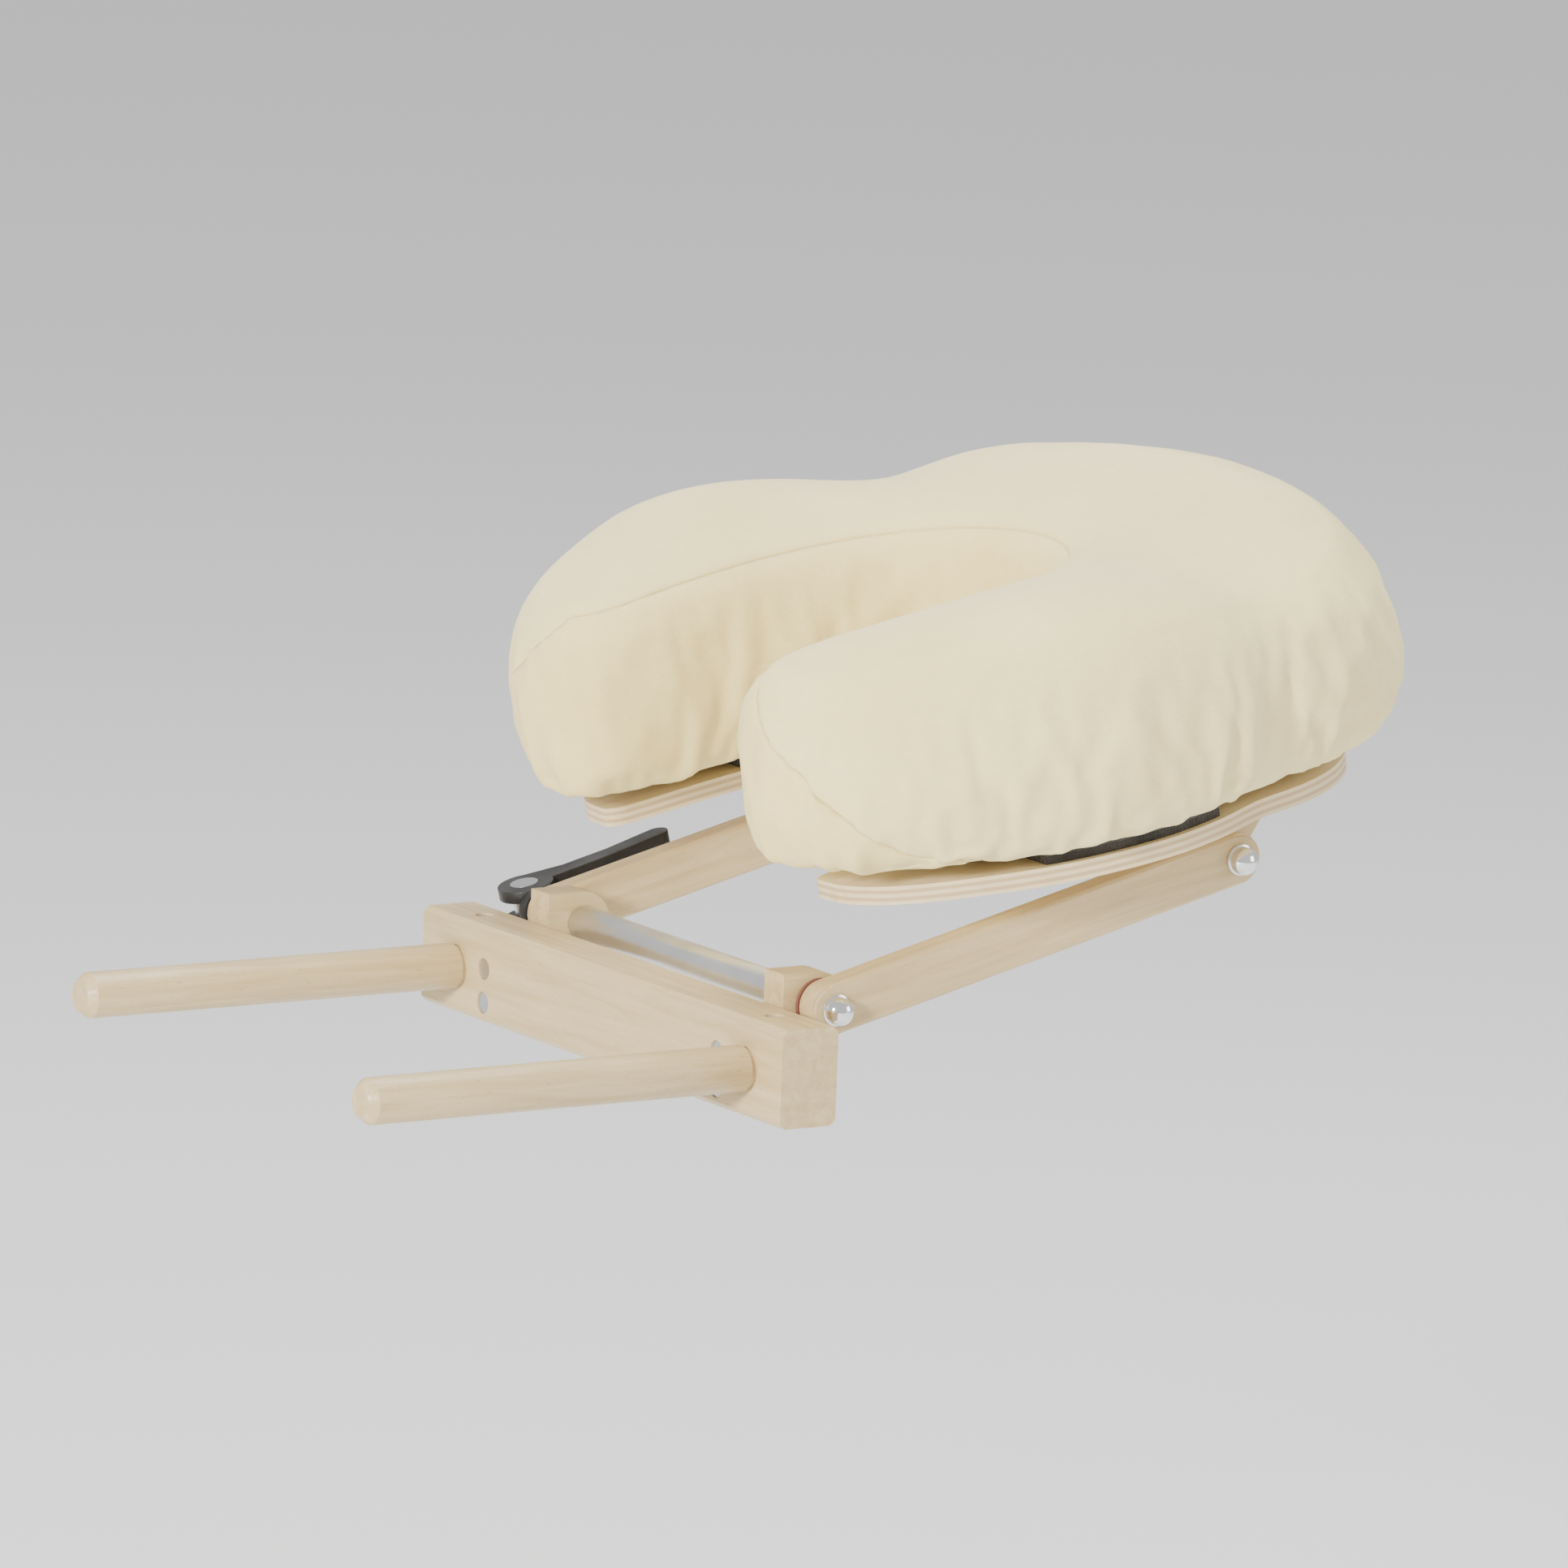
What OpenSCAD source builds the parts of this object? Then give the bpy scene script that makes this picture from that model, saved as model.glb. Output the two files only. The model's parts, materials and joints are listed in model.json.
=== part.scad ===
// Face cradle for a massage table: a horseshoe face cushion in a fitted cover, on a plywood
// platform that tilts on two swing arms. The arms turn on a crossbar, and the crossbar's two
// dowel posts plug into the end of the table.
//
// Frame: the origin is the centre of the crossbar's table-side face, level with the posts.
// +X points away from the table, +Y across it (the left side), +Z up. Sizes in millimetres.
// Angles are those at rest; every pivot axis runs along Y.

/* [Cushion] */
// Width of the cushion across both arms of the horseshoe
cushion_w = 306; // [260:1:370]
// Length of the cushion from the arm tips to the closed end
cushion_l = 262; // [225:1:315]
// Height of the covered cushion above its underside
cushion_t = 82; // [60:1:100]
// Width of the face slot at its mouth
slot_mouth_w = 92; // [74:1:112]
// Width of the face slot near its closed end
slot_end_w = 92; // [74:1:112]
// Length of the face slot from the arm tips
slot_l = 158; // [130:1:175]
// Thickness of the firm lower foam
firm_foam_t = 30; // [20:1:38]
// Thickness of the sheet that the cushion is upholstered in
vinyl_t = 1.2; // [0.8:0.1:2]
// Thickness of the removable fabric cover
cover_t = 1; // [0.8:0.1:2]
// How far the cover's hem turns under the cushion
hem_w = 18; // [12:1:22]
// Width and height of the elastic in the hem
elastic = [5, 2]; // [1:0.5:6]

/* [Platform] */
// Thickness of the platform plate
plate_t = 6.5; // [5:0.5:10]
// How far the plate's edge lies inside the cushion's edge
plate_margin = 20; // [15:1:24]
// Thickness of the hook tape on the plate
hook_t = 3; // [1:0.5:3]
// Thickness of the loop patch under the cushion
loop_t = 2.5; // [1:0.5:3]
// Length of a tape patch along the arm of the horseshoe
patch_l = 70; // [40:1:75]
// Where the side patches start, from the arm tips
patch_start = 78; // [60:1:95]
// Distance from the plate's underside down to the tilt pivot
pivot_drop = 21.5; // [18:0.5:30]
// Distance from the arm tips to the tilt pivot, along the platform
pivot_from_tips = 174; // [160:1:190]
// Thickness of each bracket under the plate
bracket_t = 12; // [9:0.5:16]

/* [Swing arms] */
// Distance between an arm's two pivots
arm_l = 168; // [150:1:200]
// Thickness of an arm
arm_t = 10; // [8:0.5:14]
// Height of an arm, which is also the diameter of its round ends
arm_h = 18; // [16:0.5:24]
// Distance between the inner faces of the two arms
arm_gap = 168; // [130:1:190]
// Diameter of the pivot rods
rod_d = 6; // [5:0.5:8]
// Thickness of the friction disc at each pivot
disc_t = 1.2; // [0.8:0.1:2]

/* [Crossbar and posts] */
// Depth of the crossbar, away from the table
bar_d = 22; // [20:1:30]
// Height of the crossbar
bar_h = 34; // [28:1:45]
// Length of the crossbar
bar_l = 236; // [222:1:290]
// Diameter of a post
post_d = 16; // [12:0.5:20]
// Distance between the two posts' centrelines
post_spacing = 190; // [186:1:230]
// Length of each post that enters the table
post_l = 150; // [100:1:200]
// Thickness of each ear on the crossbar
ear_t = 12; // [9:0.5:14]

/* [Locking levers] */
// Length of a lever from its pin to its tip
lever_l = 62; // [45:1:66]
// Width of a lever
lever_w = 16; // [14:0.5:18]

/* [Rest position] */
// Angle of the arms above level
arm_angle = 14; // [10:1:20]
// Angle of the platform above level
tilt_angle = 10.5; // [6:0.5:14]

/* [Hidden] */
$fn = 48;

plywood = "burlywood";
hardwood = "wheat";
steel = "silver";
black = "#222222";
cream = "#f0e8cf";

fit = 0.05;       // radial clearance of a rod in a hole that turns on it
gap = 0.3;        // space between two pieces that move past each other
eps = 0.01;       // overshoot of a cut past the face it leaves
outline_steps = 3;

base_pivot = [bar_d + arm_h / 2 + 5, 0, bar_h / 2];
tilt_pivot = base_pivot + arm_l * [cos(arm_angle), 0, sin(arm_angle)];
arm_out = arm_gap / 2 + arm_t;              // outer face of an arm
inner_out = arm_gap / 2 - disc_t - gap;     // outer face of an ear or a bracket

plate_z = pivot_drop;                       // plate's underside, above the tilt pivot
tape_z = plate_z + plate_t;
under_z = tape_z + hook_t + loop_t;         // underside of the cushion

// ---------- frames of the moving groups ----------

module in_arm_frame(along = 0) {
    translate(base_pivot) rotate([0, -arm_angle, 0]) translate([along, 0, 0]) children();
}

module in_platform_frame() {
    translate(tilt_pivot) rotate([0, -tilt_angle, 0]) children();
}

module in_cushion_frame() {
    in_platform_frame() translate([-pivot_from_tips, 0, under_z]) children();
}

// ---------- outline of the horseshoe ----------

half_w = cushion_w / 2;
mouth = slot_mouth_w / 2;
throat = slot_end_w / 2;
arm_w = half_w - mouth;

// The slot's edge from its closed end to its mouth, then round the arm's tip
slot_half = [[slot_l, 0], [slot_l - throat * 0.15, throat * 0.56],
    [slot_l - throat * 0.56, throat * 0.92], [slot_l * 0.6, (throat + mouth) * 0.515],
    [slot_l * 0.36, mouth * 1.03], [slot_l * 0.15, mouth]];
tip_half = [[6, mouth + arm_w * 0.08], [0, mouth + arm_w * 0.23], [3, mouth + arm_w * 0.43],
    [18, mouth + arm_w * 0.64]];
// The outer edge from the tip to the closed end, as shares of the length and half width:
// full at the cheeks, waisted behind them, round at the forehead
outer_half = [for (p = [[0.172, 0.87], [0.305, 0.967], [0.458, 1], [0.573, 0.97], [0.655, 0.918],
    [0.74, 0.895], [0.835, 0.82], [0.915, 0.675], [0.97, 0.45], [0.994, 0.22], [1, 0]])
    [p[0] * cushion_l, p[1] * half_w]];

half_outline = concat(slot_half, tip_half, outer_half);
half_n = len(half_outline);
knots = concat(half_outline, [for (i = [half_n - 2:-1:1]) [half_outline[i][0], -half_outline[i][1]]]);
knot_n = len(knots);
edge_n = knot_n * outline_steps;

function unit(v) = v / norm(v);
function at(list, i) = list[(i + len(list)) % len(list)];
function way_at(list, i) = unit(at(list, i + 1) - at(list, i - 1));

// The corners of the outline, moved a distance d into the cushion
function inset_knots(d) = [for (i = [0:knot_n - 1])
    let (w = way_at(knots, i)) knots[i] + d * [w[1], -w[0]]];

// A smooth curve from point i to the next, which leaves and arrives along the outline's way
function curve(k, i, t) = let (a = at(k, i), b = at(k, i + 1), l = norm(b - a),
    u = t * t * (3 - 2 * t))
    a + (b - a) * u + l * t * (1 - t) * ((1 - t) * way_at(k, i) - t * way_at(k, i + 1));

function outline(d) = let (k = inset_knots(d))
    [for (i = [0:knot_n - 1], s = [0:outline_steps - 1]) curve(k, i, s / outline_steps)];

// The first outline point past the slot's own wall
slot_end_i = len(slot_half) * outline_steps - 2;

// A strip of the outline between two insets, from point `from` to point `to`
module edge_band(from, to, d0, d1) {
    outer = outline(d0);
    inner = outline(d1);
    polygon(concat([for (i = [from:to]) at(outer, i)], [for (i = [to:-1:from]) at(inner, i)]));
}

module outer_band(d0, d1) edge_band(slot_end_i, edge_n - slot_end_i, d0, d1);
module slot_band(d0, d1) edge_band(-slot_end_i, slot_end_i, d0, d1);

module slab(d, from, to) {
    translate([0, 0, from]) linear_extrude(to - from) polygon(outline(d));
}

// ---------- small shared shapes ----------

module rod_between(d, from, to) {
    translate([0, from, 0]) rotate([-90, 0, 0]) cylinder(h = to - from, d = d);
}

// Countersunk screw along +Z, with the face of its head at z = 0
module screw(l, d) {
    head = d * 0.95;
    translate([0, 0, -head / 2]) cylinder(h = head / 2, d1 = d, d2 = d * 1.9);
    translate([0, 0, -l]) cylinder(h = l - head / 2, d = d);
}

module chamfered_square(w, h, c) {
    polygon([[c, 0], [w - c, 0], [w, c], [w, h - c], [w - c, h], [c, h], [0, h - c], [0, c]]);
}

module patch_area(which) {
    // The end patch lies astride the centreline, between the slot and the closed end
    if (which == 0)
        translate([slot_l + plate_margin + 8, -patch_l / 2])
            square([cushion_l - slot_l - 2 * plate_margin - 12, patch_l]);
    else
        translate([patch_start, which > 0 ? 0 : -half_w]) square([patch_l, half_w]);
}

module tape(which, from, t) {
    intersection() {
        slab(plate_margin + 2.5, from, from + t);
        translate([0, 0, from - 1]) linear_extrude(t + 2) patch_area(which);
    }
}

// ---------- crossbar, posts and ears ----------

ear_y = inner_out - ear_t / 2;
ear_screw_z = [-bar_h / 2 + 7, -bar_h / 2 + 19];
ear_screw_d = 4;
ear_screw_l = bar_d + 12;
post_screw_d = 3.5;
post_screw_l = bar_h / 2 + post_d / 4;
sink = 0.6;    // how deep a screw's head lies below the wood

module ear_screw_places() {
    for (side = [-1, 1], z = ear_screw_z)
        translate([sink, side * ear_y, z]) rotate([0, -90, 0]) children();
}

module post_screw_places() {
    for (side = [-1, 1])
        translate([bar_d / 2, side * post_spacing / 2, bar_h / 2 - sink]) children();
}

module screw_hole(l, d) {
    screw(l, d + 2 * fit);
    cylinder(h = sink + 1, d = d * 1.9 + 2 * fit);
}

module crossbar() {
    color(hardwood) difference() {
        translate([0, 0, -bar_h / 2]) translate([0, bar_l / 2, 0]) rotate([90, 0, 0])
            linear_extrude(bar_l) chamfered_square(bar_d, bar_h, 2);
        for (side = [-1, 1])
            translate([-1, side * post_spacing / 2, 0]) rotate([0, 90, 0])
                cylinder(h = bar_d + 2, d = post_d + fit);
        ear_screw_places() screw_hole(ear_screw_l + 1, ear_screw_d);
        post_screw_places() screw_hole(post_screw_l, post_screw_d);
    }
}

module post(side) {
    // A shallow groove at the crossbar's face marks how far the post goes in
    groove_w = 2;
    chamfer = 3;
    color(hardwood) difference() {
        translate([0, side * post_spacing / 2, 0]) rotate([0, 90, 0]) {
            translate([0, 0, -post_l]) cylinder(h = chamfer, d1 = post_d - 5, d2 = post_d);
            translate([0, 0, chamfer - post_l])
                cylinder(h = post_l - chamfer - groove_w, d = post_d);
            translate([0, 0, -groove_w]) cylinder(h = groove_w, d = post_d - 2);
            cylinder(h = bar_d, d = post_d);
        }
        post_screw_places() screw_hole(post_screw_l + 1, post_screw_d);
    }
}

module base_ear(side) {
    r = arm_h / 2 + 2;
    foot = [-bar_h / 2 + 2, bar_h / 2 + r];
    color(plywood) difference() {
        translate([0, side * ear_y - ear_t / 2, 0]) {
            translate(base_pivot) rod_between(2 * r, 0, ear_t);
            translate([0, ear_t, 0]) rotate([90, 0, 0]) linear_extrude(ear_t)
                polygon([[bar_d, foot[0]], [bar_d + 8, foot[0]], [base_pivot[0] + r, base_pivot[2]],
                    [base_pivot[0], base_pivot[2] + r], [bar_d, foot[1]]]);
        }
        translate(base_pivot) rod_between(rod_d + 2 * fit, -arm_out, arm_out);
        ear_screw_places() screw_hole(ear_screw_l + 0.5, ear_screw_d);
    }
}

module ear_screws() color(steel) ear_screw_places() screw(ear_screw_l, ear_screw_d);
module post_screws() color(steel) post_screw_places() screw(post_screw_l, post_screw_d);

// ---------- swing arms and their pivots ----------

cup_t = 2;                       // least thickness of a cam cup
cam_r = 10;
cam_throw = 1;
cup_clear = 0.35;
cam_y = arm_out + cup_t + cam_r + cup_clear;   // centre of a closed cam
pin_y = cam_y + cam_throw;
pin_d = rod_d + 4;
nut_d = 9.5;
nut_l = 7;

module swing_arm(side) {
    bevel = 1;
    inner = arm_gap / 2;
    color(plywood) in_arm_frame() difference() {
        translate([0, side > 0 ? inner : -inner - arm_t, 0]) {
            for (x = [0, arm_l]) translate([x, 0, 0]) {
                rod_between(arm_h - 2 * bevel, 0, arm_t);
                rod_between(arm_h, bevel, arm_t - bevel);
            }
            rotate([90, 0, 90]) linear_extrude(arm_l) translate([0, -arm_h / 2])
                chamfered_square(arm_t, arm_h, bevel);
        }
        for (x = [0, arm_l]) translate([x, 0, 0]) rod_between(rod_d + 2 * fit, -arm_out - 1, arm_out + 1);
    }
}

module pivot_rod(along) {
    color(steel) in_arm_frame(along) rod_between(rod_d, -arm_out - nut_l + 2.5, pin_y);
}

module spacer_tube(along) {
    // Keeps the ears or brackets apart when a lever squeezes them
    inner = inner_out - (along == 0 ? ear_t : bracket_t) - gap;
    color("lightgray") in_arm_frame(along) difference() {
        rod_between(rod_d + 6, -inner, inner);
        rod_between(rod_d + 2 * fit, -inner - 1, inner + 1);
    }
}

module dome_nut(along) {
    // Flange, barrel and dome, with a blind hole that the rod's end fills
    color(steel) in_arm_frame(along) translate([0, -arm_out, 0]) rotate([90, 0, 0]) difference() {
        union() {
            cylinder(h = 1.2, d = nut_d + 1.5);
            cylinder(h = nut_l - nut_d * 0.35, d = nut_d);
            intersection() {
                translate([0, 0, nut_l - nut_d * 0.6]) sphere(d = nut_d * 1.2);
                translate([0, 0, 1]) cylinder(h = nut_l, d = nut_d);
            }
        }
        translate([0, 0, -1]) cylinder(h = nut_l - 1.5, d = rod_d);
    }
}

module friction_discs() {
    color("dimgray") for (along = [0, arm_l], side = [-1, 1]) in_arm_frame(along) difference() {
        rod_between(arm_h, side > 0 ? arm_gap / 2 - disc_t : -arm_gap / 2,
            side > 0 ? arm_gap / 2 : disc_t - arm_gap / 2);
        rod_between(rod_d + 2 * fit, -arm_out, arm_out);
    }
}

module cam_cup(along) {
    wall = 2.5;    // how far the seat's rim stands above its lowest line
    color(black) in_arm_frame(along) difference() {
        intersection() {
            rod_between(arm_h, arm_out, arm_out + cup_t + wall);
            translate([-arm_h / 2, arm_out, -lever_w / 2]) cube([arm_h, cup_t + wall, lever_w]);
        }
        translate([0, cam_y, -lever_w]) cylinder(h = 2 * lever_w, r = cam_r + cup_clear);
        rod_between(rod_d + 2 * fit, arm_out - 1, cam_y);
    }
}

module barrel_pin(along) {
    color(steel) in_arm_frame(along) difference() {
        translate([0, pin_y, -lever_w / 2]) cylinder(h = lever_w, d = pin_d);
        rod_between(rod_d + 2 * fit, cam_y - cam_r, pin_y + eps);
    }
}

// ---------- locking levers ----------

// `way` is +1 where the lever lies away from the table and -1 where it lies towards it
module lock_lever(along, way) {
    tip_r = 4;
    slot_w = rod_d + 1.4;
    color(black) in_arm_frame(along) translate([0, pin_y, 0]) scale_x(way) difference() {
        union() {
            translate([0, -cam_throw, -lever_w / 2]) cylinder(h = lever_w, r = cam_r);
            translate([0, 0, -lever_w / 2]) linear_extrude(lever_w)
                polygon([[0, cam_r - cam_throw], [0, -3], [12, -4], [lever_l * 0.55, -3.2],
                    [lever_l - tip_r, -0.5], [lever_l - tip_r, 7.5], [lever_l * 0.6, 4.5],
                    [lever_l * 0.3, 4.2]]);
            translate([lever_l - tip_r, 3.5, -lever_w / 2]) cylinder(h = lever_w, r = tip_r);
        }
        translate([0, 0, -lever_w]) cylinder(h = 2 * lever_w, d = pin_d + 2 * fit);
        // A fork, which leaves room for the rod at every position of the lever
        translate([-2 * cam_r, -2 * cam_r, -slot_w / 2])
            cube([2 * cam_r + slot_w / 2, 4 * cam_r, slot_w]);
    }
}

module scale_x(way) {
    if (way > 0) children();
    else mirror([1, 0, 0]) children();
}

// ---------- platform ----------

bracket_y = inner_out - bracket_t / 2;
bracket_span = [-82, 46];
bracket_screw_x = [-64, 30];
bracket_screw_d = 3.5;
bracket_depth = 11;

module bracket_screw_places() {
    for (side = [-1, 1], x = bracket_screw_x)
        translate([x, side * bracket_y, tape_z - sink]) children();
}

module platform_plate() {
    color(plywood) in_platform_frame() difference() {
        translate([-pivot_from_tips, 0, 0]) slab(plate_margin, plate_z, plate_z + plate_t);
        bracket_screw_places() screw_hole(plate_t + 12, bracket_screw_d);
    }
}

module bracket(side) {
    r = arm_h / 2 + 1;
    low = plate_z - bracket_depth;
    color(plywood) in_platform_frame() difference() {
        translate([0, side * bracket_y - bracket_t / 2, 0]) {
            rod_between(2 * r, 0, bracket_t);
            translate([0, bracket_t, 0]) rotate([90, 0, 0]) linear_extrude(bracket_t)
                polygon([[bracket_span[0], plate_z], [bracket_span[0], plate_z - 4],
                    [bracket_span[0] + 7, low], [-r - 14, low], [-r, 0], [r, 0], [r + 10, low],
                    [bracket_span[1] - 7, low], [bracket_span[1], plate_z - 4],
                    [bracket_span[1], plate_z]]);
        }
        rod_between(rod_d + 2 * fit, -arm_out, arm_out);
        bracket_screw_places() screw_hole(plate_t + bracket_depth - 2.5, bracket_screw_d);
    }
}

module bracket_screws() {
    color(steel) in_platform_frame() bracket_screw_places()
        screw(plate_t + bracket_depth - 3, bracket_screw_d);
}

module hook_tape(which) {
    color(black) in_platform_frame() translate([-pivot_from_tips, 0, 0])
        tape(which, tape_z, hook_t);
}

// ---------- cushion ----------

soft_top = cushion_t - cover_t - vinyl_t;
skin = cover_t + vinyl_t;    // what lies between the cushion's outside and its foam
foam_gap = 0.2;              // space between the foam and the upholstery round it

module firm_foam() {
    color("khaki") in_cushion_frame() slab(skin + foam_gap, vinyl_t, firm_foam_t);
}

module soft_foam() {
    color("lemonchiffon") in_cushion_frame() slab(skin + foam_gap, firm_foam_t, soft_top);
}

module vinyl_upholstery() {
    color("ivory") in_cushion_frame() difference() {
        slab(cover_t, 0, cushion_t - cover_t);
        slab(skin, vinyl_t, soft_top);
    }
}

module loop_patch(which) {
    color("ivory") in_cushion_frame() tape(which, -loop_t, loop_t);
}

module cover_panel() {
    color(cream) in_cushion_frame() {
        slab(0, cushion_t - cover_t, cushion_t);
        linear_extrude(cushion_t - cover_t) outer_band(0, cover_t);
        translate([0, 0, -cover_t]) linear_extrude(cover_t) outer_band(0, hem_w);
    }
}

module cover_slot_strip() {
    color(cream) in_cushion_frame() {
        linear_extrude(cushion_t - cover_t) slot_band(0, cover_t);
        translate([0, 0, -cover_t]) linear_extrude(cover_t) slot_band(0, hem_w);
    }
}

module hem_elastic() {
    color("white") in_cushion_frame() translate([0, 0, -cover_t - elastic[1]])
        linear_extrude(elastic[1]) difference() {
            polygon(outline(hem_w - elastic[0]));
            polygon(outline(hem_w));
        }
}

// ---------- the nodes ----------

crossbar();
post(1);  // left_post
post(-1);  // right_post
base_ear(1);  // left_base_ear
base_ear(-1);  // right_base_ear
ear_screws();
post_screws();
swing_arm(1);  // left_swing_arm
swing_arm(-1);  // right_swing_arm
pivot_rod(0);  // base_pivot_rod
pivot_rod(arm_l);  // tilt_pivot_rod
spacer_tube(0);  // base_spacer_tube
spacer_tube(arm_l);  // tilt_spacer_tube
dome_nut(0);  // base_dome_nut
dome_nut(arm_l);  // tilt_dome_nut
friction_discs();
cam_cup(0);  // base_cam_cup
cam_cup(arm_l);  // tilt_cam_cup
barrel_pin(0);  // base_barrel_pin
barrel_pin(arm_l);  // tilt_barrel_pin
lock_lever(0, 1);  // base_lock_lever
lock_lever(arm_l, -1);  // tilt_lock_lever
platform_plate();
bracket(1);  // left_bracket
bracket(-1);  // right_bracket
bracket_screws();
hook_tape(1);  // left_hook_tape
hook_tape(-1);  // right_hook_tape
hook_tape(0);  // end_hook_tape
firm_foam();
soft_foam();
vinyl_upholstery();
loop_patch(1);  // left_loop_patch
loop_patch(-1);  // right_loop_patch
loop_patch(0);  // end_loop_patch
cover_panel();
cover_slot_strip();
hem_elastic();
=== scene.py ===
# %% [markdown]
# # A covered face cushion on its cradle
# A face cradle holds a person's head level while they lie face down. A horseshoe cushion in a
# fitted cloth cover sits on a thin plywood platform, held by hook tape. The platform tilts on
# two swing arms, the arms turn on a crossbar, and two dowels on the crossbar plug into the
# table's end. The hard parts come from the CAD model and only need their finish. The soft
# parts are made here, in the places that the CAD model keeps for them.

# %% Load the frame
import json
import math

import bmesh
import bpy
import numpy as np
from mathutils import Matrix, Vector
from mathutils.geometry import delaunay_2d_cdt


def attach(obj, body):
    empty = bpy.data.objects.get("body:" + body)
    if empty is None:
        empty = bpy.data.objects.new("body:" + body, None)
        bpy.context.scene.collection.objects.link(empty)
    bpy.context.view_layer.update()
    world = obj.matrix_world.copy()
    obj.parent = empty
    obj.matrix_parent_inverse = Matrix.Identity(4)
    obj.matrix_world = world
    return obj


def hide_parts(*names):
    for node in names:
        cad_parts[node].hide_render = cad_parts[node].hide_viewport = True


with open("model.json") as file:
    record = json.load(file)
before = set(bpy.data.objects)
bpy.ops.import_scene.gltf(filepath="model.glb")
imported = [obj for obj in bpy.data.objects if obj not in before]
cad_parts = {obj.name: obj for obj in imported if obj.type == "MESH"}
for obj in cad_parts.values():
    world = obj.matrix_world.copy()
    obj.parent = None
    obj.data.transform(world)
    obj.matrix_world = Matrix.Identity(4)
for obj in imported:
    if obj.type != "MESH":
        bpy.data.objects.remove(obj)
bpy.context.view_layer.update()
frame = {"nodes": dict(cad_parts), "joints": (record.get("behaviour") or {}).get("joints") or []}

MM = 0.001
scene = bpy.context.scene
cad = frame["nodes"]
joints = {j["name"]: j for j in frame["joints"]}
print("CAD nodes:", len(cad), "joints:", sorted(joints))

# %% [markdown]
# ## Working in the cushion's own frame
# The cushion is tilted, so its shape is easier to draw flat: u runs from the arm tips to the
# closed end, y across, and w up from the cushion's underside. The pieces could be drawn flat
# and turned as objects, but then their meshes would not lie where they show. Here each point is
# moved instead. The lift joint's axis is the cushion's own "up", and the tilt joint's place
# fixes where it sits, so nothing has to be fitted by eye.

# %% The cushion's frame
lift = Vector(joints["cushion_lift"]["axis"])
tilt = math.atan2(-lift.x, lift.z)
along = Vector((math.cos(tilt), 0, math.sin(tilt)))
tilt_pivot = Vector(joints["head_tilt"]["pos_m"])
base_pivot = Vector(joints["arm_lift"]["pos_m"])
arm_rise = math.atan2(tilt_pivot.z - base_pivot.z, tilt_pivot.x - base_pivot.x)
PIVOT_FROM_TIPS, PIVOT_BELOW_PLATE = 174, 21.5
HOOKS, LOOPS, PLATE = 3, 2.5, 6.5
PIVOT_TO_UNDERSIDE = PIVOT_BELOW_PLATE + PLATE + HOOKS + LOOPS
pad_origin = tilt_pivot + (lift * PIVOT_TO_UNDERSIDE - along * PIVOT_FROM_TIPS) * MM
pad_axes = np.array([along, (0, 1, 0), lift])


def placed(points):
    """Points (u, y, w) in millimetres, moved to their place in the frame in metres."""
    return np.asarray(points, float) @ pad_axes * MM + np.array(pad_origin)


print("tilt", round(math.degrees(tilt), 2), "arm rise", round(math.degrees(arm_rise), 2))

# %% [markdown]
# ## The camera
# The camera stands where a person would, about four metres off and a little above the cushion.
# A wide lens close by would fill the picture too, but it would swell the near arm of the
# horseshoe, so a long lens is used. The roll is the slight lean of a camera held by hand.

# %% Camera
CAMERA_AT = Vector((-2.222, -3.582, 0.843))
AIM = Vector((0.072, 0.0, 0.076))
ROLL = math.radians(2.2)
LENS, SENSOR = 288, 36
camera = bpy.data.objects.new("camera", bpy.data.cameras.new("camera"))
camera.location = CAMERA_AT
look = (AIM - CAMERA_AT).to_track_quat("-Z", "Y").to_matrix().to_4x4()
camera.rotation_euler = (look @ Matrix.Rotation(ROLL, 4, "Z")).to_euler()
camera.data.lens, camera.data.sensor_width = LENS, SENSOR
camera.data.clip_end = 50
scene.collection.objects.link(camera)
scene.camera = camera
print("camera distance", round((AIM - CAMERA_AT).length, 3))

# %% [markdown]
# ## The floor
# The cradle hangs off a table's end, so the floor lies far below it and only has to be pale and
# plain. A curved paper backdrop would do as well, but one large flat plane stays out of the way
# when the model is looked at from any side.

# %% Floor
FLOOR_AT, FLOOR_HALF = -0.32, 30
floor_mesh = bpy.data.meshes.new("floor")
floor_corners = [(x, y, FLOOR_AT) for x, y in (
    (-FLOOR_HALF, -FLOOR_HALF), (FLOOR_HALF, -FLOOR_HALF), (FLOOR_HALF, FLOOR_HALF),
    (-FLOOR_HALF, FLOOR_HALF))]
floor_mesh.from_pydata(floor_corners, [], [(0, 1, 2, 3)])
floor = bpy.data.objects.new("floor", floor_mesh)
floor_paint = bpy.data.materials.new("pale_floor")
floor_paint.use_nodes = True
floor_shader = floor_paint.node_tree.nodes["Principled BSDF"]
floor_shader.inputs["Base Color"].default_value = (0.82, 0.82, 0.82, 1)
floor_shader.inputs["Roughness"].default_value = 0.9
floor_mesh.materials.append(floor_paint)
scene.collection.objects.link(floor)
print("floor at", FLOOR_AT, "metres")

# %% [markdown]
# ## The light
# Folds in pale cloth show only where light skims over them. An even white room fills the
# shadows, a big soft lamp overhead shapes the crown, and a smaller lamp low at the front left
# rakes across the gathers. A faint one on the far side draws the edge of the closed end. Spot
# lamps would do it too, but area lamps have soft edges of their own.

# %% Lights
LAMPS_LOOK_AT = Vector((0.12, 0, 0.08))


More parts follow.
